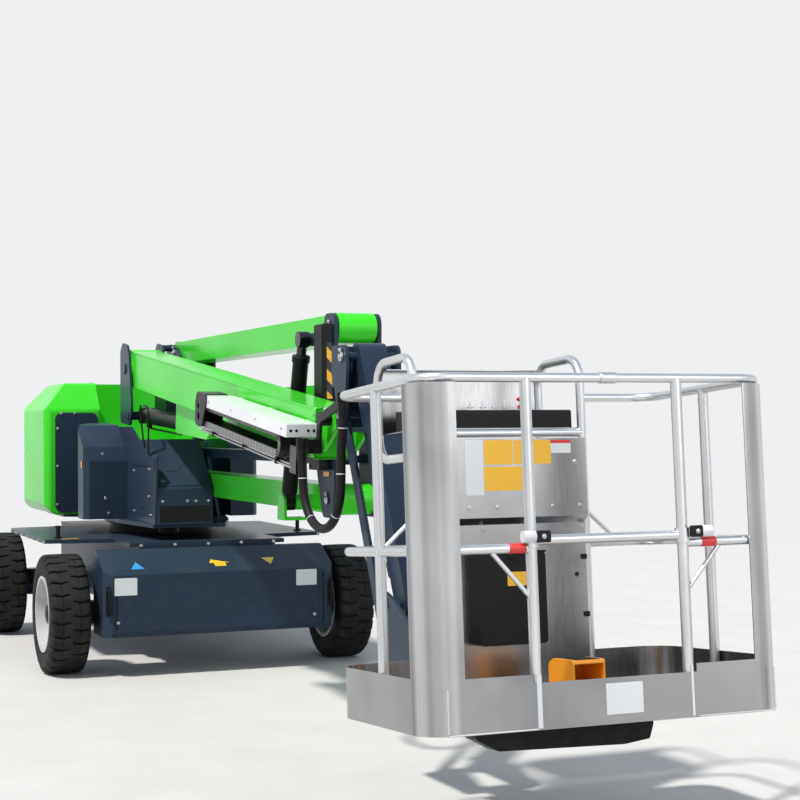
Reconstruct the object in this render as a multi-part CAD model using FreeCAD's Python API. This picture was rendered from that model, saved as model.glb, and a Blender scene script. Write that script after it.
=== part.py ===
"""Articulating boom lift: four wheels, slewing turntable, folding riser,
telescopic boom, parallelogram jib and a tubular aluminium work platform.

Millimetres.  +X points from the counterweight to the platform, +Y is the
machine's left, +Z is up.  The model is laid out from the platform-end axle
(x = 0) and written with its origin on the ground under the middle of the box.
"""
import FreeCAD, Part
import math
import os
from FreeCAD import Vector

# Running gear
TYRE_OD = 712.0
TYRE_WIDTH = 240.0
TRACK = 1775.0
WHEELBASE = 2175.0
RIM_R = 222.0
RIM_FLANGE = 14.0
RIM_WALL = 14.0
TYRE_SEAT_GAP = 0.3
NOTCHES = 18
NOTCH_WIDTH = 22.0
NOTCH_DEPTH = 17.0
NOTCH_SLANT = 14.0
SPINDLE_R = 40.0
RUNNING_FIT = 0.05
HUB_R = 92.0
KINGPIN_INSET = 215.0
KINGPIN_R = 28.0
AXLE_BEAM = 130.0
STEER_ARM = 190.0
STEER_SWING = 30.0
TIE_ROD_R = 17.0

# Chassis
FRAME_HALF_WIDTH = 430.0
FRAME_BOTTOM = 330.0
FRAME_TOP = 745.0
FRAME_WALL = 22.0
FRAME_FRONT = 95.0
FRAME_REAR_OVERHANG = 215.0
LASH_Y = 300.0
LASH_Z = 560.0
LASH_R = 22.0
LASH_THICK = 25.0
DECK_THICK = 25.0
DECK_HALF_WIDTH = 905.0
DECK_FRONT = -430.0
DECK_BACK = -1745.0
BEAM_COVER_FRONT = 400.0
BEAM_COVER_HALF = 712.0
BEAM_COVER_BOTTOM = 240.0
BEAM_COVER_LIP = 605.0
BEAM_COVER_TOP = 735.0

# Turntable
SLEW_X = -WHEELBASE / 2
RING_R = 345.0
RING_BORE = 235.0
RING_SPLIT = 808.0
TURRET_Z = 845.0
TURRET_PLATE = 25.0
HOOD_FRONT = -1500.0
HOOD_BACK = -2450.0
HOOD_HALF = 712.0
HOOD_TOP = 1780.0
HOOD_SHOULDER = 1590.0
HOOD_WALL = 12.0
HOOD_CORNER = 160.0
PANEL_HALF = 640.0
CHANNEL_HALF = 330.0
CHANNEL_FLOOR = 1330.0
CHANNEL_BACK = -1990.0
SIDE_BOX_INNER = 396.0
SIDE_BOX_OUTER = 590.0
COVER_FACE = 0.0
COVER_LEFT = 55.0
COVER_RIGHT = -296.0
COVER_LIP = 1090.0
COVER_TOP = 1390.0

# Folding riser: two stages of box arm and parallel link
RISER_Y = 165.0
RISER_LIFT = 65.0
ARM_WIDTH = 200.0
ARM_DEPTH = 142.0
ARM_WALL = 8.0
ARM_BOSS_R = 78.0
ARM_PIN_R = 25.0
LOWER_PIN = (-950.0, 1104.0)
ARM_LENGTH = 3100.0
MID_UPPER = (50.0, 862.0)
LOWER_LINK_OFFSET = (-100.0, 200.0)
UPPER_LINK_OFFSET = (-100.0, -326.0)
LOWER_LINK_DEPTH = 56.0
UPPER_LINK_DEPTH = 96.0
LINK_WALL = 6.0
CHEEK = 20.0
SIDE_GAP = 6.0
SEAT_GAP = 0.3

# Telescopic boom
BOOM_Y = -175.0
BOOM_PIN = (-850.0, 1855.0)
BOOM_SLOPE = 6.45
BOOM_LIFT = 75.0
BOOM_WIDTH = 200.0
BOOM_ABOVE = 122.0
BOOM_BELOW = 108.0
BOOM_WALL = 8.0
BOOM_REACH = 3740.0
BOOM_BOSS_R = 128.0
BOOM_PIN_R = 35.0
FLY_WIDTH = 168.0
FLY_DEPTH = 190.0
FLY_WALL = 7.0
FLY_TAIL = 700.0
NOSE_STAND_OUT = 60.0
FLY_NOSE = BOOM_REACH + NOSE_STAND_OUT
FLY_STROKE = 2300.0
PAD_GAP = 0.4
NOSE_PIN = (FLY_NOSE + 98.0, 93.0)
NOSE_PIN_R = 30.0

# Chain carrier in the boom's own frame: distances along it and above its centre
CHAIN_REAR = 2490.0
CHAIN_FRONT = FLY_NOSE + 30.0
CHAIN_TOP = 62.0
CHAIN_COVER_DEPTH = 60.0
CHAIN_INNER_Y = 20.0
CHAIN_WIDTH = 150.0
CHAIN_LOOP_R = 62.0
CHAIN_LINK = 34.0
CHAIN_PITCH = 50.0
CHAIN_TAIL = 110.0
PUSH_ROD_R = 11.0
PUSH_ROD_Z = -132.0
PUSH_ARM = 25.0

# Jib
JIB_Y = -150.0
HEAD_RISE = (196.226, 270.4748)
HEAD_LINK_DROP = (-30.0, -250.0)
JIB_SLOPE = 64.0
JIB_LENGTH = 1150.0
JIB_LIFT = 120.0
JIB_WIDTH = 130.0
JIB_DEPTH = 120.0
JIB_PIN_R = 20.0
JIB_LINK_DEPTH = 62.0
JIB_LINK_THICK = 14.0
JIB_LINK_HALF = 104.0
STUB_INNER = 88.0

# Platform
PLATFORM_Y = -25.0
PLATFORM_LENGTH = 1373.0
PLATFORM_DEPTH = 844.0
PLATFORM_HEIGHT = 1166.0
PLATFORM_CORNER = 130.0
PLATFORM_TILT = 4.0
CARRIER_REACH = (483.8732, -318.3868)
ROTATOR_SET_BACK = 112.0
ROTATOR_R = 62.0
ROTATOR_PIN_R = 30.0
BEARER_TOP = 30.0
BEARER_HALF = 60.0
FLOOR_TOP = 38.0
ROTATOR_SWING = 80.0
RAIL_R = 16.5
LOOP_R = 17.5
POST_R = 19.0
MID_RAIL_DROP = 566.0
BRACE_R = 8.0
TOE_BOTTOM = -10.0
TOE_MIDDLE = 143.0
TOE_END = 171.0
SHEET = 4.0
GATE_LEFT = 271.0
GATE_RIGHT = -311.0
GATE_SLEEVE = 50.0
SIDE_POST_SETBACK = 418.0
CONSOLE_HALF = 355.0
CONSOLE_TOP = 1310.0
CONSOLE_DEPTH = 360.0
CONSOLE_LOWER = 930.0
CONSOLE_RAIL = 1013.0
CONSOLE_BEND = 90.0
PANEL_TOP = 990.0
PANEL_LIP = 690.0
PANEL_STEP = 35.0

# Hose in its sleeve: radius, and the places (x, y, z) that its route passes
HOSE_R = 20.0
HOSE_ROUTE = (
    (3018.0, -390.0, 1380.0),
    (3018.0, -390.0, 1268.0),
    (3030.0, -386.0, 1149.0),
    (3097.0, -377.0, 1057.0),
    (3205.0, -364.0, 1022.0),
    (3313.0, -353.0, 1057.0),
    (3380.0, -346.0, 1149.0),
    (3385.0, -342.0, 1262.0),
    (3378.0, -340.0, 1372.0),
    (3404.0, -339.0, 1476.0),
    (3404.0, -339.0, 1578.0),
)
GLAND_R = 27.0
GLAND_LENGTH = 42.0

# Cylinders: barrel radius, rod radius, eye width
RISER_CYL = (41.0, 26.0, 56.0)
BOOM_CYL = (52.0, 33.0, 90.0)
JIB_CYL = (30.0, 17.0, 56.0)


def point(x, y, z):
    """Vector from three numbers."""
    return Vector(x, y, z)


def box(x0, x1, y0, y1, z0, z1):
    """Block between two corners."""
    return Part.makeBox(x1 - x0, y1 - y0, z1 - z0, point(x0, y0, z0))


def tube_y(x, z, radius, y0, y1):
    """Round bar along Y."""
    return Part.makeCylinder(radius, y1 - y0, point(x, y0, z), point(0, 1, 0))


def tube_z(x, y, radius, z0, z1):
    """Round bar along Z."""
    return Part.makeCylinder(radius, z1 - z0, point(x, y, z0))


def rounded_wire(corners, to_point):
    """Closed wire from (a, b, corner radius) rows, its corners turned into arcs."""
    edges, starts, ends, mids = [], [], [], []
    count = len(corners)
    for index, (a, b, radius) in enumerate(corners):
        here = Vector(a, b, 0)
        before = Vector(*corners[index - 1][:2], 0) - here
        after = Vector(*corners[(index + 1) % count][:2], 0) - here
        before.normalize()
        after.normalize()
        if radius <= 0:
            starts.append(here)
            ends.append(here)
            mids.append(None)
            continue
        half = before.getAngle(after) / 2
        reach = radius / math.tan(half)
        bisector = (before + after).normalize()
        centre = here + bisector * (radius / math.sin(half))
        starts.append(here + before * reach)
        ends.append(here + after * reach)
        mids.append(centre - bisector * radius)
    for index in range(count):
        if mids[index] is not None:
            edges.append(Part.Arc(to_point(starts[index]), to_point(mids[index]),
                                  to_point(ends[index])).toShape())
        leave, arrive = ends[index], starts[(index + 1) % count]
        if (arrive - leave).Length > 1e-6:
            edges.append(Part.LineSegment(to_point(leave), to_point(arrive)).toShape())
    return Part.Wire(edges)


def plate_y(corners, y0, y1):
    """Profile in the XZ plane with rows (x, z, corner radius), carried from y0 to y1."""
    wire = rounded_wire(corners, lambda p: point(p.x, y0, p.y))
    return Part.Face(wire).extrude(point(0, y1 - y0, 0))


def plate_x(corners, x0, x1):
    """Profile in the YZ plane with rows (y, z, corner radius), carried from x0 to x1."""
    wire = rounded_wire(corners, lambda p: point(x0, p.x, p.y))
    return Part.Face(wire).extrude(point(x1 - x0, 0, 0))


def plate_z(corners, z0, z1):
    """Profile in the XY plane with rows (x, y, corner radius), carried from z0 to z1."""
    wire = rounded_wire(corners, lambda p: point(p.x, p.y, z0))
    return Part.Face(wire).extrude(point(0, 0, z1 - z0))


def link_y(first, second, radius, y0, y1):
    """Flat link between two pins, its ends round about them."""
    along = Vector(second[0] - first[0], second[1] - first[1], 0)
    side = Vector(-along.y, along.x, 0).normalize() * radius
    ahead = Vector(along).normalize() * radius
    a, b = Vector(*first, 0), Vector(*second, 0)

    def at(p):
        return point(p.x, y0, p.y)

    edges = [Part.LineSegment(at(a + side), at(b + side)).toShape(),
             Part.Arc(at(b + side), at(b + ahead), at(b - side)).toShape(),
             Part.LineSegment(at(b - side), at(a - side)).toShape(),
             Part.Arc(at(a - side), at(a - ahead), at(a + side)).toShape()]
    return Part.Face(Part.Wire(edges)).extrude(point(0, y1 - y0, 0))


def join(shapes):
    """One solid from pieces that overlap."""
    first, *rest = shapes
    return first.fuse(rest).removeSplitter() if rest else first


def turned(shape, pin, degrees):
    """Shape turned in the XZ plane about a pin (x, z); a positive angle lifts its front."""
    copy = shape.copy()
    copy.rotate(point(pin[0], 0, pin[1]), point(0, -1, 0), degrees)
    return copy


def swung(place, pin, degrees):
    """The same turn for a place (x, z)."""
    turn = math.radians(degrees)
    x, z = place[0] - pin[0], place[1] - pin[1]
    return (pin[0] + x * math.cos(turn) - z * math.sin(turn),
            pin[1] + x * math.sin(turn) + z * math.cos(turn))


def moved(place, offset):
    """Place (x, z) shifted by an offset."""
    return (place[0] + offset[0], place[1] + offset[1])


def bent_tube(points, radius, bend):
    """Round tube along straight runs joined by arcs of one bend radius."""
    corners = [Vector(*p) for p in points]
    edges = []
    last = corners[0]
    for index in range(1, len(corners) - 1):
        here = corners[index]
        before = (corners[index - 1] - here).normalize()
        after = (corners[index + 1] - here).normalize()
        half = before.getAngle(after) / 2
        reach = bend / math.tan(half)
        bisector = (before + after).normalize()
        middle = here + bisector * (bend / math.sin(half) - bend)
        start, end = here + before * reach, here + after * reach
        edges.append(Part.LineSegment(last, start).toShape())
        edges.append(Part.Arc(start, middle, end).toShape())
        last = end
    edges.append(Part.LineSegment(last, corners[-1]).toShape())
    path = Part.Wire(edges)
    ring = Part.Wire(Part.Circle(corners[0], corners[1] - corners[0], radius).toShape())
    return path.makePipeShell([ring], True, False)


# Places that follow from the sizes
LIFT = TYRE_OD / 2
REAR_X = -WHEELBASE
KINGPIN_Y = TRACK / 2 - KINGPIN_INSET
MID_PIN = moved(LOWER_PIN, (ARM_LENGTH, 0))
MID_TOP = moved(MID_PIN, MID_UPPER)
KNUCKLE_PIN = moved(MID_TOP, (-ARM_LENGTH, 0))
LOWER_LINK_PINS = (moved(LOWER_PIN, LOWER_LINK_OFFSET), moved(MID_PIN, LOWER_LINK_OFFSET))
UPPER_LINK_PINS = (moved(KNUCKLE_PIN, UPPER_LINK_OFFSET), moved(MID_TOP, UPPER_LINK_OFFSET))


def on_boom(along, above):
    """Place (x, z) from a distance along the boom and one square to it."""
    return swung(moved(BOOM_PIN, (along, above)), BOOM_PIN, -BOOM_SLOPE)


NOSE = on_boom(*NOSE_PIN)
HEAD_TOP_PIN = moved(NOSE, HEAD_RISE)
HEAD_LINK_PIN = moved(HEAD_TOP_PIN, HEAD_LINK_DROP)


def on_jib(along, above):
    """Place (x, z) from a distance along the jib and one square to it."""
    return swung(moved(HEAD_TOP_PIN, (along, above)), HEAD_TOP_PIN, -JIB_SLOPE)


JIB_END = on_jib(JIB_LENGTH, 0)
ROTATOR_FOOT = moved(JIB_END, CARRIER_REACH)
JIB_LINK_END = moved(JIB_END, HEAD_LINK_DROP)


def on_platform(x, z):
    """Place (x, z) from the platform's own level frame, whose zero is the rotator's foot."""
    return swung(moved(ROTATOR_FOOT, (x, z)), ROTATOR_FOOT, PLATFORM_TILT)


PLATFORM_FRONT = on_platform(ROTATOR_SET_BACK + PLATFORM_DEPTH, 0)[0]
MIDDLE_X = (REAR_X - TYRE_OD / 2 + PLATFORM_FRONT) / 2

# Cylinder pins (x, z): barrel end, rod end
RISER_CYL_PINS = ((1720.0, 1075.0), moved(MID_PIN, (-190.0, 815.0)))
RISER_CYL_Y = -22.0
BOOM_CYL_PINS = ((BOOM_PIN[0] + 90, 1545.0), (310.0, 1492.0))
JIB_CYL_PINS = (HEAD_LINK_PIN, on_jib(950.0, -100.0))

NODES = {}
JOINT_NOTES = {}


def add(name, shape):
    """Keeps a finished solid under its node's name."""
    NODES[name] = shape


def axis_angle(first, second):
    """Direction from one place (x, z) to another, in degrees."""
    return math.degrees(math.atan2(second[1] - first[1], second[0] - first[0]))


def distance(first, second):
    """Distance between two places (x, z)."""
    return math.hypot(second[0] - first[0], second[1] - first[1])


def cylinder_solids(pins, y, sizes, pin_r, gland=34.0):
    """Barrel with its base eye and rod with its eye, drawn in place.

    The rod's eye is solid: it rides with the rod and stands clear of its lugs.
    """
    radius, rod_r, width = sizes
    length = distance(*pins)
    eye_r = radius * 1.02
    tail = radius * 1.3
    head = length - eye_r - rod_r * 1.7
    wall = max(5.0, radius * 0.16)
    x_axis = point(1, 0, 0)
    barrel = join([
        Part.makeCylinder(radius, head - tail, point(tail, 0, 0), x_axis),
        Part.makeCylinder(radius * 1.1, gland, point(head - gland, 0, 0), x_axis),
        tube_y(0, 0, eye_r, -width / 2, width / 2),
        box(0, tail + 4, -width / 2 + 3, width / 2 - 3, -radius * 0.7, radius * 0.7)])
    barrel = barrel.cut([
        tube_y(0, 0, pin_r + RUNNING_FIT, -width, width),
        Part.makeCylinder(rod_r + RUNNING_FIT, head, point(tail + wall, 0, 0), x_axis),
        Part.makeCylinder(radius - wall, head - gland - tail - 2 * wall,
                          point(tail + wall, 0, 0), x_axis)])
    inset = tail + wall + 12
    rod = join([
        Part.makeCylinder(rod_r, length - inset, point(inset, 0, 0), x_axis),
        tube_y(length, 0, eye_r, -width / 2, width / 2)])
    angle = axis_angle(*pins)
    placed = []
    for shape in (barrel, rod):
        shape.rotate(point(0, 0, 0), point(0, -1, 0), angle)
        shape.translate(point(pins[0][0], y, pins[0][1]))
        placed.append(shape)
    return placed


def cylinder_ratios(name, pins, pivot, swing):
    """Barrel turn per degree of the lift, and rod travel in metres per radian.

    The eye meets its pin at both ends of the swing, a lift of abs(swing).
    """
    far = swung(pins[1], pivot, swing)
    turn = axis_angle(pins[0], far) - axis_angle(*pins)
    turn = (turn + 180) % 360 - 180
    travel = distance(pins[0], far) - distance(*pins)
    JOINT_NOTES[name] = (turn / abs(swing), travel / 1000 / math.radians(abs(swing)), travel / 1000)
    print(name, "turn ratio", round(turn / abs(swing), 5), "travel", round(travel, 1))


# Wheels: name, centre x, side of the machine
WHEELS = (
    ("front_left", 0.0, 1),
    ("front_right", 0.0, -1),
    ("rear_left", REAR_X, 1),
    ("rear_right", REAR_X, -1),
)


def revolve_y(rows, x, y, z, side):
    """Ring from (radius, offset along Y) rows turned about the wheel's axle."""
    corners = [point(x, y + side * offset, z + radius) for radius, offset in rows]
    face = Part.Face(Part.makePolygon(corners + corners[:1]))
    return face.revolve(point(x, y, z), point(0, 1, 0), 360)


def tread_cutters():
    """Slanted notches of the tread's two staggered columns, about the origin, and their shoulder cuts."""
    outer, half = TYRE_OD / 2, TYRE_WIDTH / 2
    width = NOTCH_WIDTH / 2
    cutters = []
    for column in (-1, 1):
        inner, edge = 14.0 * column, (half + 2) * column
        across = [(-width, inner, 0), (width, inner, 0), (width + NOTCH_SLANT, edge, 0), (NOTCH_SLANT - width, edge, 0)]
        tread = plate_z(across[::column], outer - NOTCH_DEPTH, outer + 4)
        low, high = sorted(((half - 14) * column, edge))
        shoulder = box(NOTCH_SLANT - width - 1, NOTCH_SLANT + width + 1, low, high, outer - 52, outer)
        cutter = tread.fuse(shoulder)
        for index in range(NOTCHES):
            copy = cutter.copy()
            turn = 360.0 / NOTCHES * (index + 0.25 * column)
            copy.rotate(point(0, 0, 0), point(0, 1, 0), turn)
            cutters.append(copy)
    return cutters


def wheel(name, x, side):
    """Tyre and rim of one wheel."""
    y = side * TRACK / 2
    outer = TYRE_OD / 2
    half = TYRE_WIDTH / 2
    seat = RIM_R + TYRE_SEAT_GAP
    tyre = [(seat, -half + 18), (seat + 40, -half + 6), (outer - 78, -half), (outer - 34, -half + 4),
            (outer, -half + 22), (outer, half - 22), (outer - 34, half - 4), (outer - 78, half),
            (seat + 40, half - 6), (seat, half - 18)]
    if "tyre_front_left" in NODES:
        shape = NODES["tyre_front_left"].copy()
        shape.translate(point(x - WHEELS[0][1], y - TRACK / 2, 0))
    else:
        shape = revolve_y(tyre, 0, 0, 0, 1).cut(tread_cutters())
        shape.translate(point(x, y, LIFT))
    add("tyre_" + name, shape)
    lip = half - 6
    seat_half = half - 18
    inner = RIM_R - RIM_WALL
    rim = [(SPINDLE_R + RUNNING_FIT, -28), (HUB_R, -28), (HUB_R, 6), (inner - 30, 14),
           (inner, -14), (inner, -lip), (RIM_R + RIM_FLANGE - 8, -lip), (RIM_R, -seat_half),
           (RIM_R, seat_half), (RIM_R + RIM_FLANGE - 8, lip), (inner + 4, lip), (inner, 30),
           (inner - 34, 30), (HUB_R + 12, 22), (HUB_R + 2, 58), (SPINDLE_R + RUNNING_FIT, 62)]
    add("rim_" + name, revolve_y(rim, x, y, LIFT, side))


def spindle(x, side, start):
    """Stub that a wheel turns on, with the flange inboard of its rim."""
    y = side * TRACK / 2
    stub_y = y + side * 62
    shoulder = y - side * (28 + 1)
    low, high = sorted((shoulder - side * 20, stub_y))
    flange = sorted((start, shoulder))
    return [tube_y(x, LIFT, SPINDLE_R, low, high), tube_y(x, LIFT, HUB_R - 6, *flange)]


def running_gear():
    """Axles, knuckles, wheels and the steering linkage."""
    for name, x, side in WHEELS:
        wheel(name, x, side)
    beam = AXLE_BEAM / 2
    reach = TRACK / 2 - 130
    add("front_axle", join(
        [box(-beam, beam, -reach, reach, LIFT - beam, LIFT + beam)]
        + spindle(0.0, 1, reach - 10) + spindle(0.0, -1, -reach + 10)))
    jaw = KINGPIN_Y - 62
    post = 92.0
    rear = [box(REAR_X - beam, REAR_X + beam, -jaw, jaw, LIFT - beam, LIFT + beam)]
    for side in (-1, 1):
        for z0, z1 in ((LIFT - post, LIFT - post + 28), (LIFT + post - 28, LIFT + post)):
            low, high = sorted((side * (jaw - 30), side * KINGPIN_Y))
            rear.append(box(REAR_X - 55, REAR_X + 55, low, high, z0, z1))
            rear.append(tube_z(REAR_X, side * KINGPIN_Y, 55, z0, z1))
        low, high = sorted((side * (jaw - 30), side * jaw))
        rear.append(box(REAR_X - 55, REAR_X + 55, low, high, LIFT - post, LIFT + post))
        rear.append(tube_z(REAR_X, side * KINGPIN_Y, KINGPIN_R, LIFT - post, LIFT + post))
    add("rear_axle", join(rear))
    for side, name in ((1, "left"), (-1, "right")):
        hub = 92.0 - 28.0 - SEAT_GAP
        start = side * (KINGPIN_Y + 62)
        neck = sorted((side * KINGPIN_Y, start + side))
        arm = plate_z([(REAR_X + 30, side * (KINGPIN_Y + 45), 0), (REAR_X + 30, side * (KINGPIN_Y - 12), 0),
                       (REAR_X + STEER_ARM + 28, side * (KINGPIN_Y - 20), 12),
                       (REAR_X + STEER_ARM + 28, side * (KINGPIN_Y + 24), 12)][::side],
                      LIFT - 12, LIFT + 12)
        shape = join([tube_z(REAR_X, side * KINGPIN_Y, 50, LIFT - hub, LIFT + hub), arm,
                      tube_y(REAR_X, LIFT, 56, *neck)] + spindle(REAR_X, side, start))
        shape = shape.cut(tube_z(REAR_X, side * KINGPIN_Y, KINGPIN_R + RUNNING_FIT, 0, TYRE_OD))
        add("knuckle_" + name, shape)
    rod_x = REAR_X + STEER_ARM
    rod_z = LIFT - 12 - SEAT_GAP
    tie = [tube_z(rod_x, side * KINGPIN_Y, 24, rod_z - 42, rod_z) for side in (-1, 1)]
    tie.append(tube_y(rod_x, rod_z - 21, TIE_ROD_R, -KINGPIN_Y, KINGPIN_Y))
    add("tie_rod", join(tie))


def chassis():
    """Frame, deck, beam cover and slewing ring."""
    back = REAR_X - FRAME_REAR_OVERHANG
    wall = FRAME_WALL
    half = FRAME_HALF_WIDTH
    arch = LIFT + AXLE_BEAM / 2
    outer = plate_y([(back, arch, 20), (back + 60, arch, 0), (REAR_X + 330, arch, 60),
                     (REAR_X + 420, FRAME_BOTTOM, 60), (-330, FRAME_BOTTOM, 60), (-240, arch, 60),
                     (FRAME_FRONT, arch, 0), (FRAME_FRONT, FRAME_TOP, 0), (back, FRAME_TOP, 40)],
                    -half, half)
    hollow = box(REAR_X + 430, -340, -half + wall, half - wall, FRAME_BOTTOM + wall, FRAME_TOP - wall)
    lugs, eyes = [], []
    for y in (-LASH_Y, LASH_Y):
        lugs.append(plate_z([(back - 70, y - 45, 40), (back + 30, y - 45, 0),
                             (back + 30, y + 45, 0), (back - 70, y + 45, 40)],
                            LASH_Z - LASH_THICK / 2, LASH_Z + LASH_THICK / 2))
        eyes.append(tube_z(back - 30, y, LASH_R, LASH_Z - LASH_THICK, LASH_Z + LASH_THICK))
    add("chassis_frame", join([outer.cut(hollow)] + lugs).cut(eyes))
    top = FRAME_TOP + DECK_THICK
    deck = plate_z([(DECK_BACK, -DECK_HALF_WIDTH, 40), (DECK_FRONT, -DECK_HALF_WIDTH, 40),
                    (DECK_FRONT + 90, -half - 60, 0), (FRAME_FRONT, -half - 60, 0),
                    (FRAME_FRONT, half + 60, 0), (DECK_FRONT + 90, half + 60, 0),
                    (DECK_FRONT, DECK_HALF_WIDTH, 40), (DECK_BACK, DECK_HALF_WIDTH, 40),
                    (DECK_BACK - 90, half, 0), (back, half, 0), (back, -half, 0),
                    (DECK_BACK - 90, -half, 0)], FRAME_TOP, top)
    add("deck", deck)
    cover = plate_y([(FRAME_FRONT, BEAM_COVER_BOTTOM, 0), (BEAM_COVER_FRONT - 12, BEAM_COVER_BOTTOM, 0),
                     (BEAM_COVER_FRONT, BEAM_COVER_BOTTOM + 30, 0), (BEAM_COVER_FRONT, BEAM_COVER_LIP, 0),
                     (FRAME_FRONT + 60, BEAM_COVER_TOP, 0), (FRAME_FRONT, BEAM_COVER_TOP, 0)],
                    -BEAM_COVER_HALF, BEAM_COVER_HALF)
    end, face = BEAM_COVER_HALF, BEAM_COVER_FRONT
    plan = plate_z([(FRAME_FRONT - 1, -end, 0), (face - 48, -end, 0), (face + 1, -end + 52, 0),
                    (face + 1, end - 52, 0), (face - 48, end, 0), (FRAME_FRONT - 1, end, 0)],
                   BEAM_COVER_BOTTOM - 1, BEAM_COVER_TOP + 1)
    recesses = []
    for side in (-1, 1):
        low, high = sorted((side * (end - 66), side * (end - 82)))
        recesses.append(box(face - 9, face + 5, low, high, BEAM_COVER_BOTTOM + 40, BEAM_COVER_LIP - 22))
    add("front_beam_cover", cover.common(plan).cut(recesses))
    ring = tube_z(SLEW_X, 0, RING_R, top, RING_SPLIT).cut(tube_z(SLEW_X, 0, RING_BORE, top, RING_SPLIT))
    add("slew_ring_lower", ring)


def hood_solid(inset):
    """Outer form of the rear hood, drawn in by an inset for its inside.

    The plan's flats stand a little out, so that only its corners cut the other two profiles.
    """
    bottom = TURRET_Z + TURRET_PLATE + inset
    x0, x1 = HOOD_BACK + inset, HOOD_FRONT - inset
    half = HOOD_HALF - inset
    corner = HOOD_CORNER - inset
    out = 3.0
    front = 62.0 - inset
    plan = plate_z([(x0 - out, -half - out, corner + out), (x1 + out, -half - out, front + out),
                    (x1 + out, half + out, front + out), (x0 - out, half + out, corner + out)],
                   bottom - 50, HOOD_TOP + 50)
    shoulder = HOOD_SHOULDER - inset
    side = plate_x([(-half, bottom + 60, 60), (-half + 60, bottom, 60), (half - 60, bottom, 60),
                    (half, bottom + 60, 60), (half, shoulder, 40),
                    (half - 170, HOOD_TOP - inset, 60), (-half + 170, HOOD_TOP - inset, 60),
                    (-half, shoulder, 40)], x0 - 50, x1 + 50)
    profile = plate_y([(x0, bottom + 120, 60), (x0 + 90, bottom, 60), (x1, bottom, 0),
                       (x1, shoulder, 40), (x1 - 170, HOOD_TOP - inset, 60),
                       (x0 + 190, HOOD_TOP - inset, 80), (x0, shoulder - 40, 80)],
                      -half - 50, half + 50)
    return plan.common(side).common(profile)


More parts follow.
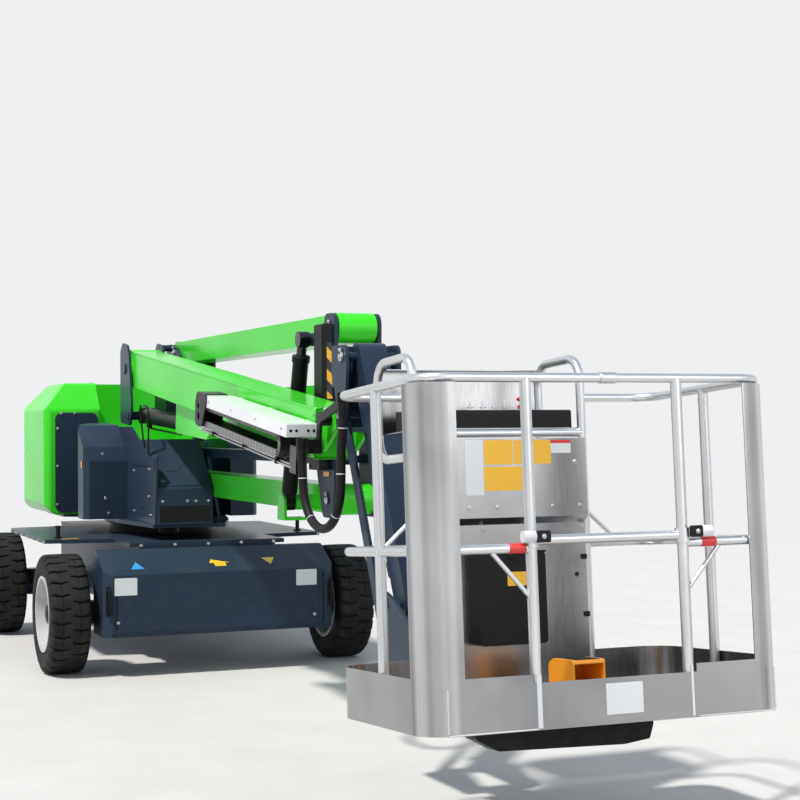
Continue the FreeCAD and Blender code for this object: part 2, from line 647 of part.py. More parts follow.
def turntable():
    """Base plate, riser cheeks, covers, hood and what is in it."""
    top = TURRET_Z + TURRET_PLATE
    plate = plate_z([(-2300, -560, 80), (-1620, -560, 60), (-1480, -375, 60), (-720, -375, 40),
                     (COVER_FACE - 60, COVER_RIGHT - 10, 20), (COVER_FACE - 20, RISER_Y - 20, 40),
                     (-480, 300, 60), (-900, 400, 60), (-1480, 400, 60), (-1620, 560, 60), (-2300, 560, 80)],
                    TURRET_Z, top)
    inner = ARM_WIDTH / 2 + SIDE_GAP
    cheeks = []
    for side in (-1, 1):
        low, high = sorted((RISER_Y + side * inner, RISER_Y + side * (inner + CHEEK)))
        cheeks.append(plate_y([(-1330, top - 1, 0), (-640, top - 1, 0), (-800, 1130, 80),
                               (-960, 1370, 50), (-1120, 1370, 60)], low, high))
    low_y, high_y = RISER_Y - inner - CHEEK, RISER_Y + inner + CHEEK
    pins = [tube_y(*LOWER_PIN, ARM_PIN_R, low_y - 8, high_y + 8),
            tube_y(*LOWER_LINK_PINS[0], ARM_PIN_R * 0.8, low_y - 8, high_y + 8)]
    add("turret_base", join([plate] + cheeks + pins))
    ring = tube_z(SLEW_X, 0, RING_R, RING_SPLIT + SEAT_GAP, TURRET_Z)
    add("slew_ring_upper", ring.cut(tube_z(SLEW_X, 0, RING_BORE, RING_SPLIT, TURRET_Z)))
    cover = plate_y([(-620, top, 0), (COVER_FACE, top, 0), (COVER_FACE, COVER_LIP, 12),
                     (-300, COVER_TOP, 40), (-620, COVER_TOP, 0)], COVER_RIGHT, COVER_LEFT)
    add("turret_front_cover", cover)
    side = plate_y([(-1010, top, 0), (COVER_FACE - 15, top, 0), (COVER_FACE + 22, 1180, 30),
                    (COVER_FACE + 22, 1300, 24), (-70, 1300, 24), (-112, 1262, 20), (-640, 1472, 20),
                    (-1010, 1472, 20)], COVER_RIGHT - SEAT_GAP - 12, COVER_RIGHT - SEAT_GAP)
    slot = link_y((-18, 1262), (-18, 1204), 13, COVER_RIGHT - 20, COVER_RIGHT)
    add("turret_side_plate", side.cut(slot))
    boxes = []
    for side_y in (-1, 1):
        inner_y = COVER_RIGHT - 2 * SEAT_GAP - 12 if side_y < 0 else SIDE_BOX_INNER
        outer_y = side_y * SIDE_BOX_OUTER
        low, high = sorted((inner_y, outer_y))
        outline = [(-1440, top, 0), (-760, top, 0), (-760, 1250, 10), (-800, 1340, 10), (-1010, 1485, 30),
                   (-1440, 1500, 20)]
        block = plate_y(outline, low, high)
        taper = plate_z([(-1450, inner_y + side_y * 110, 0), (-1450, inner_y - side_y, 0),
                         (-750, inner_y - side_y, 0), (-750, outer_y - side_y * 40, 0),
                         (-800, outer_y + side_y, 0), (-960, outer_y + side_y, 0)][::side_y], top - 1, 1520)
        boxes.append(block.common(taper))
    add("turret_side_boxes", Part.makeCompound(boxes))
    hollow = hood_solid(HOOD_WALL)
    shell = hood_solid(0)
    channel = box(CHANNEL_BACK, HOOD_FRONT + 10, -CHANNEL_HALF, CHANNEL_HALF, CHANNEL_FLOOR, HOOD_TOP + 10)
    keep = box(CHANNEL_BACK - HOOD_WALL, HOOD_FRONT + 10, -CHANNEL_HALF - HOOD_WALL,
               CHANNEL_HALF + HOOD_WALL, CHANNEL_FLOOR - HOOD_WALL, HOOD_TOP + 10)
    add("hood", shell.cut(channel).cut(hollow.cut(keep)))
    low, high = -PANEL_HALF, PANEL_HALF
    inner = CHANNEL_HALF + 14
    panel = plate_x([(low, top + 12, 50), (high, top + 12, 50), (high, HOOD_SHOULDER - 20, 45),
                     (inner, HOOD_SHOULDER - 20, 45), (inner, CHANNEL_FLOOR - 22, 0),
                     (-inner, CHANNEL_FLOOR - 22, 0), (-inner, HOOD_SHOULDER - 20, 45),
                     (low, HOOD_SHOULDER - 20, 45)], HOOD_FRONT + SEAT_GAP, HOOD_FRONT + SEAT_GAP + 4)
    add("hood_front_panel", panel)
    floor = top + HOOD_WALL + SEAT_GAP
    add("counterweight", box(HOOD_BACK + 140, CHANNEL_BACK - 20, -540, 540, floor, floor + 500))
    add("power_pack", box(CHANNEL_BACK + 30, HOOD_FRONT - 60, -480, 480, floor, floor + 330))


def riser():
    """Both stages of the riser, the mid link and its cylinder."""
    y0, y1 = RISER_Y - ARM_WIDTH / 2, RISER_Y + ARM_WIDTH / 2
    half = ARM_DEPTH / 2
    bore = ARM_PIN_R + RUNNING_FIT
    for name, first, second in (("lower_arm", LOWER_PIN, MID_PIN), ("upper_arm", KNUCKLE_PIN, MID_TOP)):
        beam = box(first[0], second[0], y0, y1, first[1] - half, first[1] + half)
        inside = box(first[0] + ARM_BOSS_R, second[0] - ARM_BOSS_R, y0 + ARM_WALL, y1 - ARM_WALL,
                     first[1] - half + ARM_WALL, first[1] + half - ARM_WALL)
        bosses = [tube_y(*pin, ARM_BOSS_R, y0, y1) for pin in (first, second)]
        holes = [tube_y(*pin, bore, y0 - 1, y1 + 1) for pin in (first, second)]
        add(name, join([beam] + bosses).cut([inside] + holes))
    small = ARM_PIN_R * 0.8 + RUNNING_FIT
    for name, pins, depth, width in (
            ("lower_link", LOWER_LINK_PINS, LOWER_LINK_DEPTH, 120.0),
            ("upper_link", UPPER_LINK_PINS, UPPER_LINK_DEPTH, 150.0)):
        y2, y3 = RISER_Y - width / 2, RISER_Y + width / 2
        bar = link_y(*pins, depth / 2, y2, y3)
        inside = box(pins[0][0] + depth, pins[1][0] - depth, y2 + LINK_WALL, y3 - LINK_WALL,
                     pins[0][1] - depth / 2 + LINK_WALL, pins[0][1] + depth / 2 - LINK_WALL)
        add(name, bar.cut([inside] + [tube_y(*pin, small, y2 - 1, y3 + 1) for pin in pins]))
    inner = ARM_WIDTH / 2 + SIDE_GAP
    cheeks = []
    for side in (-1, 1):
        low, high = sorted((RISER_Y + side * inner, RISER_Y + side * (inner + CHEEK)))
        x, z = MID_PIN
        cheeks.append(plate_y([(x - 70, z - 90, 40), (x + 70, z - 90, 40), (x + 105, z + 60, 60),
                               (x + 120, MID_TOP[1] + 75, 60), (x - 20, MID_TOP[1] + 75, 40),
                               (x - 150, UPPER_LINK_PINS[1][1] + 20, 30),
                               (x - 160, z + 160, 40)], low, high))
    low_y, high_y = RISER_Y - inner - CHEEK, RISER_Y + inner + CHEEK
    pins = [tube_y(*pin, ARM_PIN_R, low_y - 8, high_y + 8) for pin in (MID_PIN, MID_TOP)]
    pins += [tube_y(*pin, ARM_PIN_R * 0.8, low_y - 8, high_y + 8)
             for pin in (LOWER_LINK_PINS[1], UPPER_LINK_PINS[1])]
    tie = tube_y(MID_TOP[0] + 40, MID_TOP[1] - 150, 30, low_y + 1, high_y - 1)
    lug = RISER_CYL_PINS[1]
    eye_face = RISER_CYL_Y + RISER_CYL[2] / 2 + SEAT_GAP
    horn = link_y(lug, moved(lug, (170, -10)), 34, low_y, low_y + CHEEK)
    boss = tube_y(*lug, 34, eye_face, low_y + 1)
    add("mid_link", join(cheeks + pins + [tie, horn, boss]))
    barrel, rod = cylinder_solids(RISER_CYL_PINS, RISER_CYL_Y, RISER_CYL, 20)
    add("riser_cylinder_barrel", barrel)
    add("riser_cylinder_rod", rod)
    foot = RISER_CYL_PINS[0]
    carry = tube_y(*foot, 20, RISER_CYL_Y - RISER_CYL[2] / 2, y0 + 1)
    collar = tube_y(*foot, 40, RISER_CYL_Y + RISER_CYL[2] / 2 + 1, y0 + 1)
    outer = RISER_CYL_Y - RISER_CYL[2] / 2 - SEAT_GAP
    fx, fz = foot
    cheek = plate_y([(fx - 62, fz - 92, 10), (fx + 62, fz - 92, 10), (fx + 48, fz + 40, 34), (fx - 48, fz + 40, 34)],
                    outer - 14, outer)
    web = box(fx - 60, fx + 60, outer - 1, y0 + 1, fz - 92, fz - 78)
    stub = tube_y(*foot, 20, outer - 13, y0 + 1)
    NODES["lower_arm"] = join([NODES["lower_arm"], carry, collar, cheek, web, stub])
    cylinder_ratios("riser_cylinder", RISER_CYL_PINS, MID_PIN, -RISER_LIFT)


def knuckle():
    """Plates that carry the boom and its cylinder on the upper arm."""
    half = BOOM_WIDTH / 2 + 10
    thick = 15.0
    by_boom = [(-985, 1500, 40), (-715, 1480, 50), (-672, 1600, 60), (-735, 1930, 60),
               (-790, 2010, 40), (-920, 2030, 40), (-985, 1975, 50)]
    by_riser = [(-1115, 1490, 30), (-790, 1480, 50), (-735, 1600, 60), (-720, 1930, 60),
                (-840, 2000, 40), (-1000, 2030, 40), (-1115, 1960, 50)]
    inner = ARM_WIDTH / 2 + SIDE_GAP
    stations = [(BOOM_Y - half - thick, BOOM_Y - half), (BOOM_Y + half, BOOM_Y + half + thick),
                (RISER_Y - inner - thick, RISER_Y - inner), (RISER_Y + inner, RISER_Y + inner + thick)]
    plates = [plate_y(outline, low, high)
              for outline, (low, high) in zip((by_boom, by_boom, by_riser, by_riser), stations)]
    left, right = stations[0][0], stations[-1][1]
    back = box(-1115, -1095, stations[2][0] + 2, right - 2, 1510, 1900)
    web = box(-975, -760, stations[1][0] + 1, stations[2][1] - 1, 1520, 1900)
    bar = tube_y(-925, 1999, 22, stations[1][0] + 1, stations[2][1] - 1)
    pins = [tube_y(*BOOM_PIN, BOOM_PIN_R, left - 8, stations[1][1]),
            tube_y(*BOOM_CYL_PINS[0], 28, left - 8, stations[1][1]),
            tube_y(*KNUCKLE_PIN, ARM_PIN_R, stations[2][0], right + 8),
            tube_y(*UPPER_LINK_PINS[0], ARM_PIN_R * 0.8, stations[2][0], right + 8)]
    add("knuckle", join(plates + [back, web, bar] + pins))


def boom():
    """Base boom with its cylinder bracket, fly section, and chain carrier."""
    y0, y1 = BOOM_Y - BOOM_WIDTH / 2, BOOM_Y + BOOM_WIDTH / 2
    x, z = BOOM_PIN
    low, high = z - BOOM_BELOW, z + BOOM_ABOVE
    beam = box(x, x + BOOM_REACH, y0, y1, low, high)
    inside = box(x + BOOM_BOSS_R + 40, x + BOOM_REACH + 1, y0 + BOOM_WALL, y1 - BOOM_WALL,
                 low + BOOM_WALL, high - BOOM_WALL)
    boss_half = BOOM_WIDTH / 2 + 10 - SEAT_GAP
    boss = tube_y(x, z, BOOM_BOSS_R, BOOM_Y - boss_half, BOOM_Y + boss_half)
    centre = (low + high) / 2
    fly_half, fly_deep = FLY_WIDTH / 2, FLY_DEPTH / 2
    pads = []
    for start in (BOOM_REACH - 90, BOOM_REACH - 620):
        block = box(x + start, x + start + 80, y0 + 2, y1 - 2, low + 2, high - 2)
        pads.append(block.cut(box(x + start - 1, x + start + 81,
                                  BOOM_Y - fly_half - PAD_GAP, BOOM_Y + fly_half + PAD_GAP,
                                  centre - fly_deep - PAD_GAP, centre + fly_deep + PAD_GAP)))
    eye = swung(BOOM_CYL_PINS[1], BOOM_PIN, BOOM_SLOPE)
    width = BOOM_CYL[2] / 2 + SEAT_GAP
    bracket = []
    foot_z = eye[1] - 66
    for side in (-1, 1):
        a, b = sorted((BOOM_Y + side * width, BOOM_Y + side * (width + 16)))
        bracket.append(plate_y([(eye[0] - 88, low + 4, 0), (eye[0] - 88, foot_z + 20, 20),
                                (eye[0] - 60, foot_z, 20), (eye[0] + 600, foot_z + 40, 40),
                                (eye[0] + 800, low + 4, 0)], a, b))
    bracket.append(plate_y([(eye[0] + 80, foot_z + 14, 0), (eye[0] + 592, foot_z + 45, 0),
                            (eye[0] + 780, low + 2, 0), (eye[0] + 760, low + 6, 0), (eye[0] + 585, foot_z + 56, 0),
                            (eye[0] + 80, foot_z + 25, 0)], BOOM_Y - width - 1, BOOM_Y + width + 1))
    shape = join([beam.cut(inside), boss] + pads + bracket)
    shape = shape.cut(tube_y(x, z, BOOM_PIN_R + RUNNING_FIT, y0 - 50, y1 + 50))
    add("boom", turned(shape, BOOM_PIN, -BOOM_SLOPE))
    fly = box(x + FLY_TAIL, x + FLY_NOSE, BOOM_Y - fly_half, BOOM_Y + fly_half,
              centre - fly_deep, centre + fly_deep)
    fly = fly.cut(box(x + FLY_TAIL - 1, x + FLY_NOSE - 40, BOOM_Y - fly_half + FLY_WALL,
                      BOOM_Y + fly_half - FLY_WALL, centre - fly_deep + FLY_WALL,
                      centre + fly_deep - FLY_WALL))
    nose = (x + NOSE_PIN[0], z + NOSE_PIN[1])
    ears = []
    for side in (-1, 1):
        a, b = sorted((BOOM_Y + side * (fly_half - 16), BOOM_Y + side * fly_half))
        ears.append(plate_y([(x + BOOM_REACH + 14, centre - fly_deep + 20, 0),
                             (x + FLY_NOSE + 10, centre - fly_deep + 20, 30),
                             (nose[0] + 70, nose[1] - 40, 40), (nose[0] + 60, nose[1] + 70, 50),
                             (nose[0] - 60, nose[1] + 70, 40),
                             (x + BOOM_REACH + 14, centre + fly_deep - 10, 0)], a, b))
    pin = tube_y(*nose, NOSE_PIN_R, BOOM_Y - fly_half - SIDE_GAP, BOOM_Y + fly_half + SIDE_GAP)
    add("fly_boom", turned(join([fly] + ears + [pin]), BOOM_PIN, -BOOM_SLOPE))
    barrel, rod = cylinder_solids(BOOM_CYL_PINS, BOOM_Y, BOOM_CYL, 28)
    add("boom_cylinder_barrel", barrel)
    add("boom_cylinder_rod", rod)
    cylinder_ratios("boom_cylinder", BOOM_CYL_PINS, BOOM_PIN, BOOM_LIFT)


def chain_carrier():
    """Cover, chain and push rod on the boom's right side."""
    x, z = BOOM_PIN
    inner = BOOM_Y - BOOM_WIDTH / 2 - CHAIN_INNER_Y
    outer = inner - CHAIN_WIDTH
    rear, front = x + CHAIN_REAR, x + CHAIN_FRONT
    top = z + CHAIN_TOP
    cover = box(rear, front, outer, inner, top - CHAIN_COVER_DEPTH, top)
    cover = cover.cut(box(rear - 1, front - 6, outer + 4, inner - 4, top - CHAIN_COVER_DEPTH - 1, top - 4))
    brackets = [box(rear + at, rear + at + 60, inner - 2, inner + CHAIN_INNER_Y, top - 50, top - 4)
                for at in (60, 560, 1120)]
    add("chain_cover", turned(join([cover] + brackets), BOOM_PIN, -BOOM_SLOPE))
    upper = top - CHAIN_COVER_DEPTH + 10
    loop_z = upper - CHAIN_LOOP_R
    end_x = front - 200
    ring = tube_y(end_x, loop_z, CHAIN_LOOP_R, outer + 22, inner - 22)
    half_ring = ring.common(box(end_x, end_x + 200, outer, inner, loop_z - 200, loop_z + 200))
    core = tube_y(end_x, loop_z, CHAIN_LOOP_R - CHAIN_LINK, outer, inner)
    start = rear - CHAIN_TAIL
    runs, windows = [], []
    for low in (upper - CHAIN_LINK, loop_z - CHAIN_LOOP_R):
        runs.append(box(start, end_x + 1, outer + 22, inner - 22, low, low + CHAIN_LINK).cut(core))
        for index in range(int((end_x - start - 60) / CHAIN_PITCH)):
            at = start + 60 + index * CHAIN_PITCH
            windows.append(box(at, at + 0.6 * CHAIN_PITCH, outer + 34, inner - 34, low - 1, low + CHAIN_LINK + 1))
    chain = join([half_ring.cut(core)] + runs).cut(windows)
    hanger = box(start - 22, start + 0.5, outer, inner - 20, loop_z - CHAIN_LOOP_R, upper)
    add("energy_chain", turned(join([chain, hanger]), BOOM_PIN, -BOOM_SLOPE))
    end_plate = plate_y([(rear - 165, z - 106, 30), (rear - 40, z - 106, 30), (rear + 30, top - 40, 10),
                         (rear + 30, top + 8, 10), (rear - 150, top + 8, 40), (rear - 175, z + 10, 20)],
                        outer - SEAT_GAP - 6, outer - SEAT_GAP)
    flange = box(rear - 140, rear - 4, outer - SEAT_GAP - 1, inner - 30, top + 2, top + 8)
    holes = [tube_y(rear - 110, z + 4, 22, outer - 10, outer), tube_y(rear - 104, z - 56, 22, outer - 10, outer)]
    add("chain_end_bracket", turned(join([end_plate, flange]).cut(holes), BOOM_PIN, -BOOM_SLOPE))
    rod_z = z + PUSH_ROD_Z
    rod = Part.makeCylinder(PUSH_ROD_R, CHAIN_FRONT - CHAIN_REAR + 250,
                            point(rear - 270, outer + 60, rod_z), point(1, 0, 0))
    block = box(front - 60, front + 30, outer + 40, outer + 80, rod_z - 30, rod_z + 95)
    arm = box(front - 60, front - 60 + PUSH_ARM, outer + 41, BOOM_Y - FLY_WIDTH / 2 - SEAT_GAP,
              rod_z + 55, rod_z + 94)
    add("push_rod", turned(join([rod, block, arm]), BOOM_PIN, -BOOM_SLOPE))
    hose(BOOM_Y - FLY_WIDTH / 2 - SIDE_GAP - SEAT_GAP)


def hose(root_y):
    """Sleeved hose that hangs in a loop beside the nose, and the bracket of its two glands."""
    first, last = HOSE_ROUTE[0], HOSE_ROUTE[-1]
    plate_out = last[1] + HOSE_R + 13
    tabs = [link_y(NOSE, (first[0], first[2] + GLAND_LENGTH / 2), 20, plate_out - 12, plate_out),
            link_y(NOSE, (last[0], last[2] + GLAND_LENGTH / 2), 20, plate_out - 12, plate_out),
            tube_y(*NOSE, 32, plate_out - 11, root_y),
            box(first[0] - 20, first[0] + 20, first[1], plate_out - 1, first[2] + 2, first[2] + 38),
            tube_z(first[0], first[1], GLAND_R, first[2], first[2] + GLAND_LENGTH),
            box(last[0] - 15, last[0] + 15, last[1], plate_out - 1, last[2] + 2, last[2] + 38),
            tube_z(last[0], last[1], GLAND_R, last[2], last[2] + GLAND_LENGTH)]
    add("hose_bracket", join(tabs))
    corners = [Vector(*place) for place in HOSE_ROUTE]
    edges = []
    start = corners[0]
    for before, here, after in zip(corners, corners[1:], corners[2:]):
        back, ahead = before - here, after - here
        half = back.getAngle(ahead) / 2
        reach = 0.45 * min(back.Length, ahead.Length)
        bend = reach * math.tan(half)
        back.normalize()
        ahead.normalize()
        bisector = (back + ahead).normalize()
        middle = here + bisector * (bend / math.sin(half) - bend)
        enter, leave = here + back * reach, here + ahead * reach
        edges.append(Part.LineSegment(start, enter).toShape())
        edges.append(Part.Arc(enter, middle, leave).toShape())
        print("hose bend radius", round(bend, 1), "diameters", round(bend / HOSE_R / 2, 2))
        start = leave
    edges.append(Part.LineSegment(start, corners[-1]).toShape())
    path = Part.Wire(edges)
    length = path.Length
    ring = Part.Wire(Part.Circle(corners[0], corners[1] - corners[0], HOSE_R).toShape())
    tube = path.makePipeShell([ring], True, False)
    section = math.pi * HOSE_R ** 2
    print("hose length", round(length, 1), "volume over section times length",
          round(tube.Volume / section / length, 4))
    add("hose", tube)


def jib():
    """Head, jib arm, parallel links, cylinder and the carrier of the platform."""
    hub = FLY_WIDTH / 2 - 16 - SEAT_GAP
    cheek_in, cheek_out = JIB_LINK_HALF + JIB_LINK_THICK / 2 + 4, JIB_LINK_HALF + JIB_LINK_THICK / 2 + 18
    top, low = HEAD_TOP_PIN, HEAD_LINK_PIN
    head = [tube_y(*NOSE, 62, BOOM_Y - hub, BOOM_Y + hub)]
    arm = plate_y([(NOSE[0] + 20, NOSE[1] - 50, 0), (low[0] - 60, low[1] - 60, 0),
                   (top[0] - 85, top[1] + 20, 0), (top[0] - 125, top[1] + 20, 0),
                   (NOSE[0] + 35, NOSE[1] + 60, 0)], BOOM_Y - hub, BOOM_Y + hub)
    head.append(arm)
    for side in (-1, 1):
        a, b = sorted((JIB_Y + side * cheek_in, JIB_Y + side * cheek_out))
        head.append(plate_y([(low[0] - 45, low[1] - 62, 20), (low[0] + 55, low[1] - 62, 40),
                             (top[0] + 55, top[1] - 60, 30), (top[0] + 50, top[1] + 52, 40),
                             (top[0] - 130, top[1] + 52, 20), (top[0] - 130, top[1] - 80, 20),
                             (low[0] - 45, low[1] + 70, 20)], a, b))
    head.append(box(top[0] - 128, top[0] - 100, JIB_Y - cheek_out + 1, JIB_Y + cheek_out - 1,
                    top[1] - 130, top[1] + 50))
    pins = [tube_y(*pin, JIB_PIN_R, JIB_Y - cheek_out - 6, JIB_Y + cheek_out + 6) for pin in (top, low)]
    head_shape = join(head + pins)
    head_shape = head_shape.cut(tube_y(*NOSE, NOSE_PIN_R + RUNNING_FIT, BOOM_Y - 200, BOOM_Y + 200))
    add("jib_head", head_shape)
    y0, y1 = JIB_Y - JIB_WIDTH / 2, JIB_Y + JIB_WIDTH / 2
    bore = JIB_PIN_R + RUNNING_FIT
    x, z = top
    beam = box(x, x + JIB_LENGTH, y0, y1, z - JIB_DEPTH / 2, z + JIB_DEPTH / 2)
    beam = beam.cut(box(x + 70, x + JIB_LENGTH - 70, y0 + 6, y1 - 6,
                        z - JIB_DEPTH / 2 + 6, z + JIB_DEPTH / 2 - 6))
    ends = [tube_y(x, z, JIB_DEPTH / 2, y0, y1), tube_y(x + JIB_LENGTH, z, JIB_DEPTH / 2, y0, y1)]
    eye = swung(JIB_CYL_PINS[1], top, JIB_SLOPE)
    lugs = []
    for side in (-1, 1):
        a, b = sorted((JIB_Y + side * (JIB_CYL[2] / 2 + SEAT_GAP), JIB_Y + side * (JIB_CYL[2] / 2 + 12)))
        lugs.append(plate_y([(eye[0] - 60, z - JIB_DEPTH / 2 + 4, 0), (eye[0] - 34, eye[1] - 34, 20),
                             (eye[0] + 34, eye[1] - 34, 20), (eye[0] + 60, z - JIB_DEPTH / 2 + 4, 0)], a, b))
    arm = join([beam] + ends + lugs)
    arm = arm.cut([tube_y(x, z, bore, y0 - 1, y1 + 1), tube_y(x + JIB_LENGTH, z, bore, y0 - 1, y1 + 1)])
    add("jib_arm", turned(arm, top, -JIB_SLOPE))
    links = []
    for side in (-1, 1):
        a, b = sorted((JIB_Y + side * (JIB_LINK_HALF - JIB_LINK_THICK / 2),
                       JIB_Y + side * (JIB_LINK_HALF + JIB_LINK_THICK / 2)))
        bar = link_y(low, JIB_LINK_END, JIB_LINK_DEPTH / 2, a, b)
        links.append(bar.cut([tube_y(*pin, bore, a - 1, b + 1) for pin in (low, JIB_LINK_END)]))
    add("jib_links", Part.makeCompound(links))
    barrel, rod = cylinder_solids(JIB_CYL_PINS, JIB_Y, JIB_CYL, JIB_PIN_R, 24.0)
    add("jib_cylinder_barrel", barrel)
    add("jib_cylinder_rod", rod)
    cylinder_ratios("jib_cylinder", JIB_CYL_PINS, HEAD_TOP_PIN, JIB_LIFT)
    carrier(cheek_in, cheek_out)


def carrier(cheek_in, cheek_out):
    """Weldment from the jib's end pins to the rotator."""
    end, low = JIB_END, JIB_LINK_END
    foot = ROTATOR_FOOT
    parts = []
    for side in (-1, 1):
        a, b = sorted((JIB_Y + side * cheek_in, JIB_Y + side * cheek_out))
        parts.append(plate_y([(low[0] - 60, low[1] - 45, 30), (foot[0] - 132, foot[1] + 40, 20),
                              (foot[0] - 132, foot[1] + 210, 20), (end[0] + 80, end[1] + 30, 30),
                              (end[0] - 30, end[1] + 60, 40), (end[0] - 70, end[1], 30)], a, b))
        inner, outer = sorted((JIB_Y + side * STUB_INNER, JIB_Y + side * (cheek_out + 6)))
        parts.append(tube_y(*low, JIB_PIN_R, inner, outer))
    parts.append(box(foot[0] - 200, foot[0] - 132.5, JIB_Y - cheek_out + 1, JIB_Y + cheek_out - 1,
                     foot[1] + 50, foot[1] + 200))
    post = on_floor(tube_z(0, JIB_Y, ROTATOR_R, BEARER_TOP + SEAT_GAP, 220))
    bridge = box(foot[0] - 140, foot[0], JIB_Y - 50, JIB_Y + 50, foot[1] + 60, foot[1] + 190)
    pin = tube_y(*end, JIB_PIN_R, JIB_Y - cheek_out - 6, JIB_Y + cheek_out + 6)
    shape = join(parts + [post, bridge, pin])
    shape = shape.cut(on_floor(tube_z(0, JIB_Y, ROTATOR_PIN_R + RUNNING_FIT, 0, 205)))
    add("platform_carrier", shape)


def on_floor(shape):
    """Platform piece drawn level about the rotator's foot, then tilted and set in place."""
    shape.translate(point(ROTATOR_FOOT[0], 0, ROTATOR_FOOT[1]))
    return turned(shape, ROTATOR_FOOT, PLATFORM_TILT)


def platform():
    """Tubular platform with its floor, toe boards, corner sheets, bar and console."""
    back = ROTATOR_SET_BACK
    front = back + PLATFORM_DEPTH
    left, right = PLATFORM_Y + PLATFORM_LENGTH / 2, PLATFORM_Y - PLATFORM_LENGTH / 2
    corner = PLATFORM_CORNER
    edge = SHEET + SEAT_GAP

    def outline(inset):
        return [(back + inset, right + inset, corner - inset), (front - inset, right + inset, corner - inset),
                (front - inset, left - inset, corner - inset), (back + inset, left - inset, corner - inset)]

    floor = plate_z(outline(edge), BEARER_TOP, FLOOR_TOP)
    bearer = box(-80, front - 200, JIB_Y - BEARER_HALF, JIB_Y + BEARER_HALF, -12, BEARER_TOP)
    bearer = join([bearer, tube_z(0, JIB_Y, ROTATOR_PIN_R, BEARER_TOP - 1, 200)])
    top = PLATFORM_HEIGHT - RAIL_R
    sheet_top = top - RAIL_R - SEAT_GAP
    sheets = plate_z(outline(0), TOE_BOTTOM, sheet_top).cut(plate_z(outline(SHEET), TOE_BOTTOM - 1, sheet_top + 1))
    above = sheet_top + 1
    sheets = sheets.cut([
        box(back - 1, front - corner - 5, right - 1, left + 1, TOE_END, above),
        box(back - 1, front + 1, right + corner + 5, left - corner - 5, TOE_END, above),
        box(front - corner, front + 1, GATE_RIGHT - POST_R, GATE_LEFT + POST_R, TOE_MIDDLE, above),
        box(back - 1, back + edge, JIB_Y - BEARER_HALF - SEAT_GAP, JIB_Y + BEARER_HALF + SEAT_GAP,
            TOE_BOTTOM - 1, BEARER_TOP + SEAT_GAP)])
    add("platform_floor", on_floor(join([floor, bearer])))
    add("platform_sheets", on_floor(sheets))
    inset = POST_R + SHEET + SEAT_GAP
    bend = corner - inset
    x0, x1 = back + inset, front - inset
    ya, yb = right + inset, left - inset
    loops = (PLATFORM_Y - CONSOLE_HALF, PLATFORM_Y + CONSOLE_HALF)
    mid = top - MID_RAIL_DROP
    rails = [bent_tube([(x0, loops[0], top), (x0, ya, top), (x1, ya, top), (x1, yb, top), (x0, yb, top),
                        (x0, loops[1], top)], RAIL_R, bend)]
    for y_gate, y_side, y_loop, side in ((GATE_RIGHT, ya, loops[0], -1), (GATE_LEFT, yb, loops[1], 1)):
        rails.append(bent_tube([(x1, y_gate, mid), (x1, y_side, mid), (x0, y_side, mid), (x0, y_loop, mid)],
                               RAIL_R, bend))
        rails.append(strut((x1, y_gate + side * 12, mid - 160), (x1, y_gate + side * 146, mid - 10)))
        rails.append(strut((x0, y_loop + side * 12, mid + 120), (x0, y_loop + side * 134, mid + 10)))
    posts = [(x1, GATE_RIGHT), (x1, GATE_LEFT), (back + SIDE_POST_SETBACK, ya), (back + SIDE_POST_SETBACK, yb)]
    floor_top = FLOOR_TOP + SEAT_GAP
    poles = [tube_z(px, py, POST_R, floor_top, top) for px, py in posts]
    for y_loop in loops:
        loop = [(x0, y_loop, floor_top), (x0, y_loop, CONSOLE_TOP), (x0 - CONSOLE_DEPTH, y_loop, CONSOLE_TOP),
                (x0 - CONSOLE_DEPTH, y_loop, CONSOLE_LOWER), (x0 - 60, y_loop, CONSOLE_LOWER)]
        poles.append(bent_tube(loop, LOOP_R, CONSOLE_BEND))
        poles.append(Part.makeCylinder(RAIL_R, 90, point(x0 - 90, y_loop, CONSOLE_LOWER), point(1, 0, 0)))
    poles.append(tube_y(x0, CONSOLE_RAIL, RAIL_R, *loops))
    add("platform_rails", on_floor(join(rails + poles)))
    console(x0, floor_top, loops)
    gate(x1, mid)


def strut(first, second):
    """Thin round brace between two points."""
    start = point(*first)
    along = point(*second) - start
    return Part.makeCylinder(BRACE_R, along.Length, start, along)


